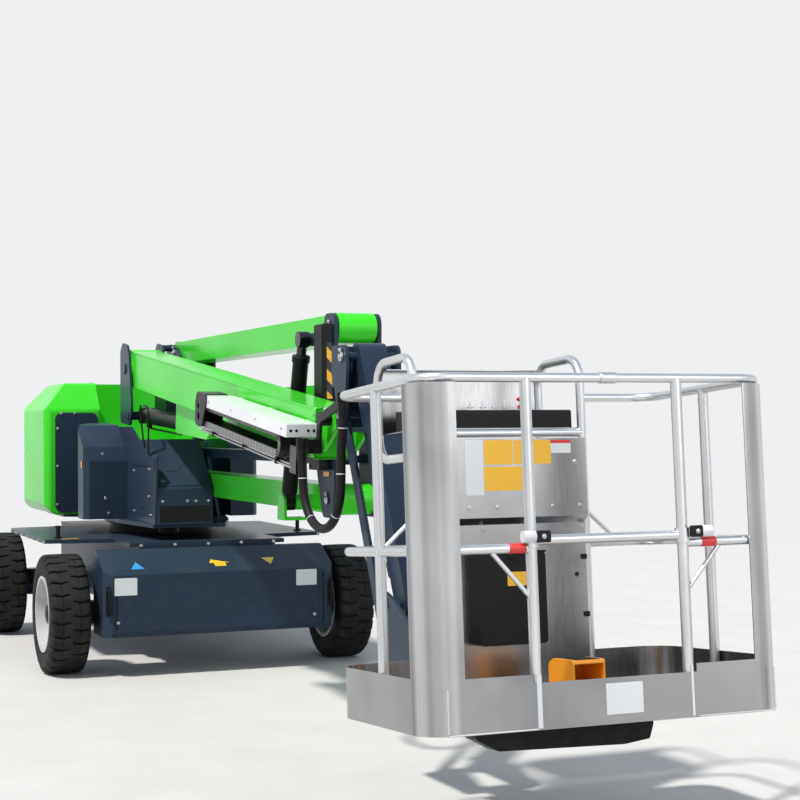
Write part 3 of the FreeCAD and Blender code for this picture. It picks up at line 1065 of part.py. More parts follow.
def console(x0, floor_top, loops):
    """Sheet panel, weather cover, control box, document box, foot switch and floor bumper."""
    y0, y1 = loops[0] + LOOP_R + SEAT_GAP, loops[1] - LOOP_R - SEAT_GAP
    face = x0 + LOOP_R + SEAT_GAP
    step = face + PANEL_STEP
    panel = [box(face, face + SHEET, y0, y1, floor_top, PANEL_LIP + 1),
             plate_y([(face, PANEL_LIP - 25, 0), (face + SHEET, PANEL_LIP - 25, 0), (step + SHEET, PANEL_LIP, 0),
                      (step + SHEET, PANEL_TOP, 0), (face, PANEL_TOP, 0), (face, PANEL_TOP - SHEET, 0),
                      (step, PANEL_TOP - SHEET, 0), (step, PANEL_LIP + 3, 0), (face, PANEL_LIP - 16, 0)], y0, y1)]
    for edge in (y0, y1 - SHEET):
        panel.append(plate_y([(face, PANEL_LIP - 25, 0), (face + SHEET, PANEL_LIP - 25, 0),
                              (step + SHEET, PANEL_LIP, 0), (step + SHEET, PANEL_TOP, 0),
                              (face, PANEL_TOP, 0)], edge, edge + SHEET))
    add("console_panel", on_floor(join(panel)))
    cover_face = x0 - CONSOLE_DEPTH - SHEET / 2
    cover_top = CONSOLE_TOP - RAIL_R - 6
    cover = plate_y([(cover_face, CONSOLE_RAIL + 50, 0), (cover_face + SHEET, CONSOLE_RAIL + 50, 0),
                     (cover_face + SHEET, cover_top - SHEET, 0), (cover_face + 60, cover_top - SHEET, 0),
                     (cover_face + 60, cover_top, 0), (cover_face, cover_top, 0)], y0, y1)
    tray = box(cover_face, x0, y0, y1, CONSOLE_RAIL + RAIL_R + SEAT_GAP, CONSOLE_RAIL + RAIL_R + SEAT_GAP + SHEET)
    back_plate = box(cover_face, cover_face + SHEET, y0, y1, CONSOLE_RAIL + RAIL_R + SEAT_GAP, CONSOLE_RAIL + 51)
    add("console_cover", on_floor(join([cover, tray, back_plate])))
    bottom = CONSOLE_RAIL + RAIL_R + SHEET + 2 * SEAT_GAP
    control = plate_y([(cover_face + 90, bottom, 0), (cover_face + 90, bottom + 82, 12),
                       (x0 - 10, bottom + 70, 12), (x0 - 10, bottom, 0)], y0 + 20, y1 - 20)
    papers = box(face + SHEET + SEAT_GAP, face + SHEET + 80, y0 + 180, y0 + 460, 215, 560)
    papers = papers.makeFillet(18.0, [edge for edge in papers.Edges if edge.Length < 100])
    add("console_boxes", on_floor(Part.makeCompound([control, papers])))
    shell = plate_y([(410, floor_top, 0), (410, floor_top + 118, 24), (450, floor_top + 137, 30),
                     (600, floor_top + 137, 12), (600, floor_top, 0)], 4, 134)
    shell = shell.cut(box(430, 601, 11, 127, floor_top + 10, floor_top + 122))
    pedal = plate_y([(440, floor_top + 9, 0), (440, floor_top + 52, 8), (455, floor_top + 60, 8),
                     (570, floor_top + 24, 4), (570, floor_top + 9, 0)], 24, 114)
    add("foot_switch", on_floor(join([shell, pedal])))
    low = BEARER_TOP - SEAT_GAP
    bumper = plate_x([(-510, low, 0), (-510, -35, 10), (-428, -78, 10), (40, -90, 10), (140, -78, 10),
                      (156, -30, 10), (156, low, 0)], 790, 880)
    bumper = bumper.cut(box(789, 881, JIB_Y - BEARER_HALF - SEAT_GAP, JIB_Y + BEARER_HALF + SEAT_GAP,
                            -12 - SEAT_GAP, BEARER_TOP + 1))
    add("floor_bumper", on_floor(bumper))


def gate_travel():
    """Free height between the bar's sleeve and the top rail."""
    return MID_RAIL_DROP - RAIL_R - GATE_SLEEVE - 12


def gate(x1, mid):
    """Bar that slides up the two front posts."""
    sleeves = []
    for y_post, side in ((GATE_RIGHT, -1), (GATE_LEFT, 1)):
        sleeve = tube_z(x1, y_post, POST_R + 7, mid, mid + GATE_SLEEVE)
        slot_a, slot_b = sorted((y_post, y_post + side * 40))
        slot = box(x1 - RAIL_R - 1.5, x1 + RAIL_R + 1.5, slot_a, slot_b, mid - 1, mid + GATE_SLEEVE + 1)
        sleeves.append(sleeve.cut([tube_z(x1, y_post, POST_R + RUNNING_FIT, mid - 1, mid + 100), slot]))
    reach = POST_R + 3
    bar = tube_y(x1, mid + GATE_SLEEVE / 2, RAIL_R, GATE_RIGHT + reach, GATE_LEFT - reach)
    add("gate_bar", on_floor(join(sleeves + [bar])))


def print_motions():
    """Prints the limits that the sizes give the joints."""
    print("steering swing", STEER_SWING, "riser lift", RISER_LIFT, "boom lift", BOOM_LIFT,
          "jib lift", JIB_LIFT, "platform swing", ROTATOR_SWING)
    print("fly stroke", FLY_STROKE, "fly left in the boom", BOOM_REACH - FLY_TAIL - FLY_STROKE)
    print("gate bar travel", gate_travel())


def main():
    """Builds every node and writes it."""
    running_gear()
    chassis()
    turntable()
    riser()
    knuckle()
    boom()
    chain_carrier()
    jib()
    platform()
    os.makedirs("parts", exist_ok=True)
    for name, shape in NODES.items():
        copy = shape.copy()
        copy.translate(point(-MIDDLE_X, 0, 0))
        bounds = copy.BoundBox
        print(name, len(copy.Solids), copy.isValid(), round(copy.Volume / 1e6, 2),
              [round(v) for v in (bounds.XMin, bounds.XMax, bounds.YMin, bounds.YMax,
                                  bounds.ZMin, bounds.ZMax)])
        copy.exportStep("parts/" + name + ".step")
    print_motions()


main()
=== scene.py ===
"""Looks of the articulating boom lift, laid out as a Blender add-on.

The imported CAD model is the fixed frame.  This file gives every node its finish and adds the
pieces that are too fine for it.  New pieces are surfaces worked out with numpy.  Their sizes are
in millimetres in the frame of the part that carries them (along it, across it to the machine's
left, and above it), and a place function such as BOOM turns them into the scene's metres.
"""
import math

import bmesh
import bpy
import numpy as np
from bpy.props import FloatProperty, FloatVectorProperty, PointerProperty
from mathutils import Matrix, Vector


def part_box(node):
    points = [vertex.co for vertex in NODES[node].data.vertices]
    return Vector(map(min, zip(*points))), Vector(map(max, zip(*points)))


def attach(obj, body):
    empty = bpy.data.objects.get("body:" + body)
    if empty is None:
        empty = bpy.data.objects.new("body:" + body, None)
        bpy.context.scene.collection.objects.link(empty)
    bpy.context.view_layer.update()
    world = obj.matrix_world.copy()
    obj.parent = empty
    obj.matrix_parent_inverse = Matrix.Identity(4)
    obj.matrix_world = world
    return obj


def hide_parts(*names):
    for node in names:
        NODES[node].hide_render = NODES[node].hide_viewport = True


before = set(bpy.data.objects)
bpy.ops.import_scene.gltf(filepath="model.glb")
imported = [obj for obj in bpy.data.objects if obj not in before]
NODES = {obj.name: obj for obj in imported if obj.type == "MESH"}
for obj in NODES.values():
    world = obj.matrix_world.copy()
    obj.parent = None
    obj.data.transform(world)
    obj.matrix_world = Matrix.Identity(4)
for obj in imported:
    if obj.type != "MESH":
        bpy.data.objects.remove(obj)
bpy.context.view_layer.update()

bl_info = {
    "name": "Boom Lift Looks",
    "version": (1, 0, 0),
    "blender": (4, 5, 0),
    "location": "3D View > Sidebar > Boom Lift",
    "description": "Finishes and fine pieces of an articulating boom lift",
    "category": "Object",
}


def middle(node):
    """Middle of a node's box."""
    low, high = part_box(node)
    return (low + high) / 2


# The CAD source counts x from the platform-end axle; this is where that axle lies here
AXLE_X = middle("tyre_front_left").x


def tilted(x, z, degrees=0.0):
    """Frame of a sloped part: its local millimetres (along, across, above) become metres."""
    cos, sin = math.cos(math.radians(degrees)), math.sin(math.radians(degrees))

    def place(points):
        """Rows of local millimetres as rows of the scene's metres."""
        along, across, above = np.asarray(points, float).reshape(-1, 3).T
        return np.stack([AXLE_X + (x + along * cos - above * sin) / 1000, across / 1000,
                         (z + along * sin + above * cos) / 1000], -1)
    return place


# Frames of the whole machine, the boom, the platform's floor, and the beam and front covers' slopes
GROUND = tilted(0, 0)
BOOM = tilted(-850, 1855, -6.45)
FLOOR = tilted(4218, 428, 4)
BEAM_SLOPE = tilted(400, 605, -27.95)
FRONT_SLOPE = tilted(0, 1090, -45)

# Directions: to the platform end, to the machine's left, up, and to its right
X, Y, Z = (1, 0, 0), (0, 1, 0), (0, 0, 1)
RIGHT = (0, -1, 0)


def quads(rows, cols, wrap_rows=False, wrap_cols=False):
    """Faces of a grid of rows x cols points, joined round where a direction wraps."""
    r = np.arange(rows if wrap_rows else rows - 1)
    c = np.arange(cols if wrap_cols else cols - 1)
    a, b = np.meshgrid(r, c, indexing="ij")
    a2, b2 = (a + 1) % rows, (b + 1) % cols
    faces = np.stack([a * cols + b, a2 * cols + b, a2 * cols + b2, a * cols + b2], -1)
    return faces.reshape(-1, 4).tolist()


def end_caps(rows, cols):
    """Faces that close the first and the last row of a tube of rows x cols points."""
    last = (rows - 1) * cols
    return [list(range(cols)), list(range(last + cols - 1, last - 1, -1))]


def frame_of(axis):
    """Two directions square to an axis and to each other, with the axis third."""
    w = np.asarray(axis, float) / np.linalg.norm(axis)
    u = np.cross(Z if abs(w[2]) < 0.9 else X, w)
    u /= np.linalg.norm(u)
    return u, np.cross(w, u), w


def lathe(rows, centre, axis, sides=28):
    """Surface of revolution: the profile rows (radius, height) turned about an axis.

    P(s, t) = centre + height(s) w + radius(s) (cos t u + sin t v).  Rows of radius 0 close it.
    """
    u, v, w = frame_of(axis)
    rows = np.asarray(rows, float)
    turn = np.linspace(0, 2 * math.pi, sides, endpoint=False)
    around = np.cos(turn)[:, None] * u + np.sin(turn)[:, None] * v
    points = np.asarray(centre, float) + rows[:, 1, None, None] * w + rows[:, 0, None, None] * around
    return points.reshape(-1, 3), quads(len(rows), sides, False, True)


def disc(radius, height, centre, axis, edge=1.0, sides=28):
    """Closed turned disc that stands on its centre along the axis.

    Its profile runs out along the foot, up the side, over the rim in two steps and back in.
    """
    edge = min(edge, height / 2, radius / 2)
    step = edge * 0.3
    profile = [(0, 0), (radius, 0), (radius, height - edge), (radius - step, height - step),
               (radius - edge, height), (0, height)]
    return lathe(profile, centre, axis, sides)


def ring(outer, inner, height, centre, axis, sides=28):
    """Closed turned ring: its profile is a rectangle with 1 mm off the outer top corner."""
    profile = [(inner, 0), (outer, 0), (outer, height - 1), (outer - 1, height), (inner, height),
               (inner, 0)]
    return lathe(profile, centre, axis, sides)


def carried(path, outline, up=Z):
    """Outline rows (a, b) carried along a path: P(i, j) = path(i) + a(j) side(i) + b(j) rise(i)."""
    path = np.asarray(path, float)
    outline = np.asarray(outline, float)
    tangent = np.gradient(path, axis=0)
    tangent /= np.linalg.norm(tangent, axis=1)[:, None]
    side = np.cross(np.asarray(up, float), tangent)
    side /= np.linalg.norm(side, axis=1)[:, None]
    rise = np.cross(tangent, side)
    points = (path[:, None] + outline[None, :, 0, None] * side[:, None]
              + outline[None, :, 1, None] * rise[:, None])
    faces = quads(len(path), len(outline), False, True) + end_caps(len(path), len(outline))
    return points.reshape(-1, 3), faces


def circle(radius, sides=12):
    """Outline of a round section: (radius cos t, radius sin t)."""
    turn = np.linspace(0, 2 * math.pi, sides, endpoint=False)
    return np.stack([radius * np.cos(turn), radius * np.sin(turn)], -1)


def rounded(points, radius, steps=6):
    """Path whose corners give way to quadratic curves (1-t)^2 a + 2t(1-t) corner + t^2 b."""
    points = np.asarray(points, float)
    made = [points[0]]
    t = np.linspace(0, 1, steps + 1)[:, None]
    for before, here, after in zip(points[:-2], points[1:-1], points[2:]):
        a = here + (before - here) * min(0.5, radius / np.linalg.norm(before - here))
        b = here + (after - here) * min(0.5, radius / np.linalg.norm(after - here))
        made.extend((1 - t) ** 2 * a + 2 * t * (1 - t) * here + t ** 2 * b)
    made.append(points[-1])
    return np.array(made)


def pipe(points, radius, bend=20.0, up=Z, sides=12):
    """Round tube: a circle carried along a path whose corners are bent."""
    return carried(rounded(points, bend), circle(radius, sides), up)


def bead(start, end, radius=3.0, sides=8):
    """Weld bead between two points: a round section, every 3 mm, that swells with each ripple.

    P(i, t) = path(i) + radius (1 + 0.18 sin(i pi / 1.5)) (cos t u + sin t v).
    """
    start, end = np.asarray(start, float), np.asarray(end, float)
    count = max(4, int(np.linalg.norm(end - start) / 3.0))
    path = start + (end - start) * np.linspace(0, 1, count)[:, None]
    u, v, _ = frame_of(end - start)
    swell = 1 + 0.18 * np.sin(np.arange(count) * math.pi / 1.5)
    turn = np.linspace(0, 2 * math.pi, sides, endpoint=False)
    around = np.cos(turn)[:, None] * u + np.sin(turn)[:, None] * v
    points = path[:, None] + radius * swell[:, None, None] * around
    return points.reshape(-1, 3), quads(count, sides, False, True) + end_caps(count, sides)


def slab(outline, origin, u, v, thick):
    """Plate: outline rows (a, b) in the plane of u and v, with a thickness square to it.

    P(k, j) = origin + a(j) u + b(j) v + k thick (u x v), with k = 0 or 1.
    """
    outline = np.asarray(outline, float)
    u, v = np.asarray(u, float), np.asarray(v, float)
    base = np.asarray(origin, float) + outline[:, :1] * u + outline[:, 1:] * v
    points = np.concatenate([base, base + thick * np.cross(u, v)])
    count = len(outline)
    order = np.arange(count)
    sides = np.stack([order, np.roll(order, -1), np.roll(order, -1) + count, order + count], -1)
    return points, [order[::-1].tolist(), (order + count).tolist()] + sides.tolist()


def rounded_rect(a0, a1, b0, b1, radius, steps=4):
    """Outline of a rectangle whose corners are quarter circles: middle + radius (cos t, sin t)."""
    radius = min(radius, (a1 - a0) / 2.01, (b1 - b0) / 2.01)
    t = np.linspace(0, math.pi / 2, steps + 1)
    corners = [(a1 - radius, b1 - radius), (a0 + radius, b1 - radius), (a0 + radius, b0 + radius),
               (a1 - radius, b0 + radius)]
    return np.concatenate([np.stack([a + radius * np.cos(t + k * math.pi / 2),
                                     b + radius * np.sin(t + k * math.pi / 2)], -1)
                           for k, (a, b) in enumerate(corners)])


def facing_x(y0, y1, z0, z1, x, thick=1.0, radius=4.0):
    """Plate that faces the platform end: a rounded rectangle in y and z, thick along x."""
    return slab(rounded_rect(y0, y1, z0, z1, radius), (x, 0, 0), Y, Z, thick)


def facing_y(x0, x1, z0, z1, y, thick=1.0, radius=4.0):
    """Plate that faces the machine's right: a rounded rectangle in x and z, thick against y."""
    return slab(rounded_rect(x0, x1, z0, z1, radius), (0, y, 0), X, Z, thick)


def facing_z(x0, x1, y0, y1, z, thick=1.0, radius=4.0):
    """Plate that lies flat: a rounded rectangle in x and y, thick upward."""
    return slab(rounded_rect(x0, x1, y0, y1, radius), (0, 0, z), X, Y, thick)


def joined(*parts):
    """One (points, faces) pair from several."""
    points, faces, base = [], [], 0
    for p, f in parts:
        points.append(p)
        faces.extend([index + base for index in face] for face in f)
        base += len(p)
    return np.concatenate(points), faces


def bolts(places, axis, across=17.0):
    """Hexagon bolt heads on round washers, at each of the places.

    A head is a profile in shares of its width across, turned in six steps.
    """
    head = across * np.array([(0, 0.1), (0.56, 0.1), (0.56, 0.42), (0.46, 0.52), (0, 0.52)])
    made = []
    for place in places:
        made.append(disc(across * 0.72, across * 0.14, place, axis, 0.6, 20))
        made.append(lathe(head, place, axis, 6))
    return joined(*made)


def pin_cap(centre, axis, radius):
    """End of a pin: a turned collar and boss, and a keeper plate with its bolt.

    The plate reaches from 0.35 radius on one side of the middle to 1.75 radius on the other.
    """
    u, v, w = frame_of(axis)
    centre = np.asarray(centre, float)
    outline = rounded_rect(-radius * 0.35, radius * 1.75, -radius * 0.42, radius * 0.42, radius * 0.4)
    return joined(disc(radius, 9, centre, axis, 2.0), disc(radius * 0.5, 13, centre, axis, 1.5, 20),
                  slab(outline, centre + 4 * w, v, -u, 5),
                  bolts([centre + v * radius * 1.35 + 9 * w], axis, radius * 0.42))


def pin_caps(pins, right, left, radius):
    """Caps on both ends of pins, each given by its x and z, that reach from y = right to y = left."""
    return joined(*(joined(pin_cap((x, right, z), RIGHT, radius), pin_cap((x, left, z), Y, radius))
                    for x, z in pins))


def points_of(mesh):
    """Vertices of a mesh as rows of metres."""
    flat = np.empty(len(mesh.vertices) * 3, np.float32)
    mesh.vertices.foreach_get("co", flat)
    return flat.reshape(-1, 3).astype(float)


# Metres within which a piece's points are merged and its edges dropped
MERGE = 0.00002
DROP = 0.00001
# Angles from which an edge of a piece is shaded sharp, and from which it is bevelled
SHARP_ANGLE = math.radians(38)
BEVEL_ANGLE = math.radians(40)


def piece(name, part, finish, body, place=GROUND, edge=0.0, replaces=()):
    """Object from local millimetres, with its finish, riding on a CAD body.

    Points that meet are merged and the faces turned outwards.  Edge is the width of its bevel.
    """
    points, faces = part
    mesh = bpy.data.meshes.new(name)
    mesh.from_pydata(place(points).tolist(), [], faces)
    work = bmesh.new()
    work.from_mesh(mesh)
    bmesh.ops.remove_doubles(work, verts=work.verts, dist=MERGE)
    bmesh.ops.dissolve_degenerate(work, edges=work.edges, dist=DROP)
    bmesh.ops.recalc_face_normals(work, faces=work.faces)
    work.to_mesh(mesh)
    work.free()
    obj = bpy.data.objects.new(name, mesh)
    bpy.context.scene.collection.objects.link(obj)
    mesh.materials.append(bpy.data.materials[finish])
    mesh.polygons.foreach_set("use_smooth", np.ones(len(mesh.polygons), bool))
    mesh.set_sharp_from_angle(angle=SHARP_ANGLE)
    if edge:
        rim = obj.modifiers.new("edge", "BEVEL")
        rim.width = edge / 1000
        rim.segments = 2
        rim.limit_method = "ANGLE"
        rim.angle_limit = BEVEL_ANGLE
    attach(obj, body)
    if replaces:
        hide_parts(*replaces)
    return obj


def put(tree, kind, links=(), **values):
    """Node with its settings: values name its properties or inputs, links pair an input with a source."""
    made = tree.nodes.new(kind)
    for key, value in values.items():
        if hasattr(made, key) and key not in made.inputs:
            setattr(made, key, value)
        else:
            made.inputs[key.replace("_", " ")].default_value = value
    for socket, source in links:
        tree.links.new(source, made.inputs[socket])
    return made


def ranged(tree, source, low, high, to_low=0.0, to_high=1.0):
    """Value of low..high spread over to_low..to_high."""
    return put(tree, "ShaderNodeMapRange", [("Value", source)], From_Min=low, From_Max=high,
               To_Min=to_low, To_Max=to_high).outputs[0]


def maths(tree, kind, first, second, clamp=False):
    """Sum, product or the like of two values, of which each may be a number."""
    made = put(tree, "ShaderNodeMath", operation=kind, use_clamp=clamp)
    for socket, value in ((0, first), (1, second)):
        if isinstance(value, (int, float)):
            made.inputs[socket].default_value = value
        else:
            tree.links.new(value, made.inputs[socket])
    return made.outputs[0]


def new_group(name, inputs, outputs):
    """Empty shader group with float or vector sockets; returns its tree, its inputs and its output node."""
    tree = bpy.data.node_groups.new(name, "ShaderNodeTree")
    for label, value in inputs:
        kind = "NodeSocketVector" if isinstance(value, tuple) else "NodeSocketFloat"
        socket = tree.interface.new_socket(name=label, in_out="INPUT", socket_type=kind)
        socket.default_value = value
    for label in outputs:
        tree.interface.new_socket(name=label, in_out="OUTPUT", socket_type="NodeSocketFloat")
    return tree, tree.nodes.new("NodeGroupInput").outputs, tree.nodes.new("NodeGroupOutput")


def noise(tree, where, scale, detail=3.0, roughness=0.5):
    """Value of a noise at a vector."""
    return put(tree, "ShaderNodeTexNoise", [("Vector", where)], Scale=scale, Detail=detail,
               Roughness=roughness).outputs[0]


def weathering_group():
    """Dust that settles on faces that look up, low dirt, and the ripple of sprayed paint."""
    tree, given, out = new_group("weathering", [("Dust", 0.4), ("Fine", 420.0)], ["Dust", "Shade", "Height"])
    where = put(tree, "ShaderNodeTexCoord").outputs["Object"]
    normal = put(tree, "ShaderNodeNewGeometry").outputs["Normal"]
    upward = put(tree, "ShaderNodeSeparateXYZ", [(0, normal)]).outputs["Z"]
    patches = ranged(tree, noise(tree, where, 3.1, 6.0, 0.62), 0.40, 0.74)
    settled = maths(tree, "MULTIPLY", ranged(tree, upward, 0.25, 0.95), patches)
    height = put(tree, "ShaderNodeSeparateXYZ", [(0, where)]).outputs["Z"]
    splash = maths(tree, "MULTIPLY", ranged(tree, height, 0.80, 0.20),
                   ranged(tree, noise(tree, where, 17.0, 5.0, 0.7), 0.42, 0.70))
    both = maths(tree, "ADD", maths(tree, "MULTIPLY", settled, 0.8), maths(tree, "MULTIPLY", splash, 0.7))
    dust = maths(tree, "MULTIPLY", both, given["Dust"], clamp=True)
    fine = put(tree, "ShaderNodeTexNoise", [("Vector", where), ("Scale", given["Fine"])],
               Detail=1.0).outputs[0]
    tree.links.new(dust, out.inputs["Dust"])
    tree.links.new(noise(tree, where, 1.3), out.inputs["Shade"])
    tree.links.new(fine, out.inputs["Height"])


def grain_group():
    """Fine parallel grain of drawn or brushed metal, broad clouds, and painted reflection bands that follow
    the normal.
    """
    tree, given, out = new_group("metal_grain", [("Stretch", (1.0, 1.0, 1.0)), ("Cloud", 2.5)],
                                 ["Grain", "Cloud", "Painted_reflection", "Height"])
    where = put(tree, "ShaderNodeTexCoord").outputs["Object"]
    drawn = put(tree, "ShaderNodeVectorMath", [(0, where), (1, given["Stretch"])], operation="MULTIPLY")
    lines = noise(tree, drawn.outputs[0], 1.0)
    cloud = put(tree, "ShaderNodeTexNoise", [("Vector", where), ("Scale", given["Cloud"])], Detail=3.0,
                Distortion=0.6).outputs[0]
    normal = put(tree, "ShaderNodeNewGeometry").outputs["Normal"]
    tree.links.new(lines, out.inputs["Grain"])
    tree.links.new(cloud, out.inputs["Cloud"])
    # Painted reflection: noise over the normal, so a face's colour changes with the way it is turned
    tree.links.new(noise(tree, normal, 2.6, 1.0), out.inputs["Painted_reflection"])
    tree.links.new(maths(tree, "ADD", lines, noise(tree, where, 55.0, 4.0, 0.7)), out.inputs["Height"])


def stripe_group():
    """Mask of slanted bands: 1 on every other band of a width in metres, across y and z."""
    tree, given, out = new_group("slanted_bands", [("Width", 0.03)], ["Mask"])
    where = put(tree, "ShaderNodeTexCoord").outputs["Object"]
    parts = put(tree, "ShaderNodeSeparateXYZ", [(0, where)]).outputs
    slant = maths(tree, "ADD", parts["Y"], parts["Z"])
    turns = maths(tree, "DIVIDE", slant, given["Width"])
    part = maths(tree, "MODULO", maths(tree, "ADD", turns, 1000.0), 2.0)
    tree.links.new(maths(tree, "GREATER_THAN", part, 1.0), out.inputs["Mask"])


def blended(tree, share, first, second):
    """Colour between two, where each is a colour or a socket."""
    mix = put(tree, "ShaderNodeMix", data_type="RGBA")
    tree.links.new(share, mix.inputs[0])
    for socket, value in ((6, first), (7, second)):
        if isinstance(value, tuple):
            mix.inputs[socket].default_value = (*value[:3], 1.0)
        else:
            tree.links.new(value, mix.inputs[socket])
    return mix.outputs[2]


def new_finish(name):
    """Material with its Principled shader and tree."""
    material = bpy.data.materials.new(name)
    material.use_nodes = True
    tree = material.node_tree
    return tree, tree.nodes["Principled BSDF"]


def use_group(tree, group, **values):
    """A shader group set into a material with its own values."""
    made = tree.nodes.new("ShaderNodeGroup")
    made.node_tree = bpy.data.node_groups[group]
    for key, value in values.items():
        made.inputs[key].default_value = value
    return made.outputs


def soft_edge(tree, shader, radius, height, strength):
    """Bump over a normal that rounds a sharp edge by a small radius."""
    edge = put(tree, "ShaderNodeBevel", Radius=radius, samples=4)
    bump = put(tree, "ShaderNodeBump", [("Height", height), ("Normal", edge.outputs[0])],
               Strength=strength, Distance=0.0004)
    tree.links.new(bump.outputs[0], shader.inputs["Normal"])


# Colours of the dust on paint and on plastic
DRY_DUST = (0.30, 0.28, 0.25)
DARK_DUST = (0.17, 0.155, 0.135)


def paint(name, colour, dusty, roughness, coat, edge=0.003, shine=0.5):
    """Sprayed paint: a base colour that drifts a little, settled dust, and a ripple in the gloss."""
    tree, shader = new_finish(name)
    weather = use_group(tree, "weathering", Dust=dusty)
    base = blended(tree, ranged(tree, weather["Shade"], 0.3, 0.7), tuple(c * 0.88 for c in colour),
                   tuple(min(1.0, c * 1.10 + 0.003) for c in colour))
    tree.links.new(blended(tree, weather["Dust"], base, DRY_DUST), shader.inputs["Base Color"])
    tree.links.new(ranged(tree, weather["Dust"], 0.0, 1.0, roughness, 0.85), shader.inputs["Roughness"])
    shader.inputs["Coat Weight"].default_value = coat
    shader.inputs["Coat Roughness"].default_value = 0.08
    shader.inputs["Specular IOR Level"].default_value = shine
    soft_edge(tree, shader, edge, weather["Height"], 0.10)


def banded(name, dark, light, width):
    """Tape with slanted bands in two colours."""
    tree, shader = new_finish(name)
    mask = use_group(tree, "slanted_bands", Width=width)["Mask"]
    weather = use_group(tree, "weathering", Dust=0.15)
    tape = blended(tree, mask, dark, light)
    tree.links.new(blended(tree, weather["Dust"], tape, DRY_DUST), shader.inputs["Base Color"])
    shader.inputs["Roughness"].default_value = 0.38


def metal(name, colour, dark, roughness, stretch, cloud=2.5, edge=0.0015, bump=0.15, lines=0.25,
          end=None):
    """Bare metal: its tone drifts between two greys, at random and in painted reflection bands that follow
    the normal, and its gloss follows the grain.

    Past end, an axis of the frame and a place on it in metres, it is painted black.
    """
    tree, shader = new_finish(name)
    grain = use_group(tree, "metal_grain", Stretch=stretch, Cloud=cloud)
    # Tone from random clouds and from painted reflection bands that follow the normal
    drift_and_reflection = maths(tree, "ADD", maths(tree, "MULTIPLY", grain["Cloud"], 0.4),
                  maths(tree, "MULTIPLY", grain["Painted_reflection"], 0.6))
    tone = blended(tree, ranged(tree, drift_and_reflection, 0.36, 0.64), dark, colour)
    fine = blended(tree, ranged(tree, grain["Grain"], 0.3, 0.7, 0.0, lines), tone, dark)
    shader.inputs["Metallic"].default_value = 1.0
    if end:
        where = put(tree, "ShaderNodeTexCoord").outputs["Object"]
        along = put(tree, "ShaderNodeSeparateXYZ", [(0, where)]).outputs[end[0]]
        bare = maths(tree, "LESS_THAN", along, end[1])
        tree.links.new(bare, shader.inputs["Metallic"])
        fine = blended(tree, bare, END_BLACK, fine)
    tree.links.new(fine, shader.inputs["Base Color"])
    tree.links.new(ranged(tree, grain["Grain"], 0.3, 0.7, roughness * 0.85, roughness * 1.2),
                   shader.inputs["Roughness"])
    soft_edge(tree, shader, edge, grain["Height"], bump)


def moulded(name, colour, roughness, dusty=0.3, bump=0.3, edge=0.0015, fine=420.0):
    """Moulded plastic or rubber: fine texture and dust."""
    tree, shader = new_finish(name)
    shader.inputs["Specular IOR Level"].default_value = 0.20
    weather = use_group(tree, "weathering", Dust=dusty, Fine=fine)
    base = blended(tree, ranged(tree, weather["Shade"], 0.3, 0.7), tuple(c * 0.8 for c in colour), colour)
    tree.links.new(blended(tree, weather["Dust"], base, DARK_DUST), shader.inputs["Base Color"])
    tree.links.new(ranged(tree, weather["Shade"], 0.3, 0.7, roughness * 0.9, roughness * 1.1),
                   shader.inputs["Roughness"])
    soft_edge(tree, shader, edge, weather["Height"], bump)


class LiftColours(bpy.types.PropertyGroup):
    """Colours of the paints."""
    green: FloatVectorProperty(name="Green", description="Boom, arms and hood", subtype="COLOR", size=3,
                               min=0.0, max=1.0, default=(0.038, 0.600, 0.014))
    slate: FloatVectorProperty(name="Slate", description="Chassis, covers and links", subtype="COLOR",
                               size=3, min=0.0, max=1.0, default=(0.020, 0.035, 0.060))
    amber: FloatVectorProperty(name="Amber", description="Foot switch and reflectors", subtype="COLOR",
                               size=3, min=0.0, max=1.0, default=(0.900, 0.330, 0.010))
    pale: FloatVectorProperty(name="Pale grey", description="Chain cover", subtype="COLOR", size=3,
                              min=0.0, max=1.0, default=(0.740, 0.750, 0.770))


class LiftSizes(bpy.types.PropertyGroup):
    """Sizes that a user may change."""
    cover_bolt: FloatProperty(name="Cover bolt", description="Width across a cover bolt's head",
                              default=0.014, min=0.006, max=0.04, subtype="DISTANCE", unit="LENGTH")
    tread_depth: FloatProperty(name="Tread depth", default=1.0, min=0.2, max=1.2, subtype="FACTOR",
                               description="Depth of the tyres' grooves against the usual")
    floor_size: FloatProperty(name="Floor", description="Half the width of the studio floor",
                              default=90.0, min=10.0, max=200.0, subtype="DISTANCE", unit="LENGTH")


# Finish of each CAD node, by what the node's name starts with
NODE_FINISHES = {
    "rubber": ["tyre_"],
    "silver paint": ["rim_"],
    "slate paint": ["hood_front_panel", "chassis_frame", "deck", "front_beam_cover", "front_axle",
                    "rear_axle", "knuckle", "turret_", "mid_link", "lower_link", "jib_head", "jib_arm",
                    "jib_links", "platform_carrier"],
    "green paint": ["lower_arm", "upper_arm", "upper_link", "boom", "fly_boom", "counterweight"],
    "hood paint": ["hood"],
    "black paint": ["slew_ring", "tie_rod", "power_pack", "riser_cylinder_barrel", "boom_cylinder_barrel",
                    "jib_cylinder_barrel", "hose_bracket", "floor_bumper", "chain_end_bracket"],
    "chrome": ["boom_cylinder_rod", "jib_cylinder_rod"],
    "riser rod": ["riser_cylinder_rod"],
    "pale paint": ["chain_cover"],
    "black plastic": ["energy_chain", "console_boxes"],
    "push rod steel": ["push_rod"],
    "sleeve": ["hose"],
    "aluminium tube": ["platform_rails", "gate_bar"],
    "aluminium sheet": ["platform_sheets", "platform_floor", "console_panel", "console_cover"],
    "amber paint": ["foot_switch"],
}


# Colours of the rods, bright and dull, and the lengths in metres of the black eye at the riser
# rod's top and of the black block at the push rod's end
ROD_COLOURS = ((0.82, 0.83, 0.84), (0.66, 0.67, 0.69))
END_BLACK = (0.008, 0.008, 0.009)
RISER_EYE = 0.16
PUSH_ROD_BLOCK = 0.118


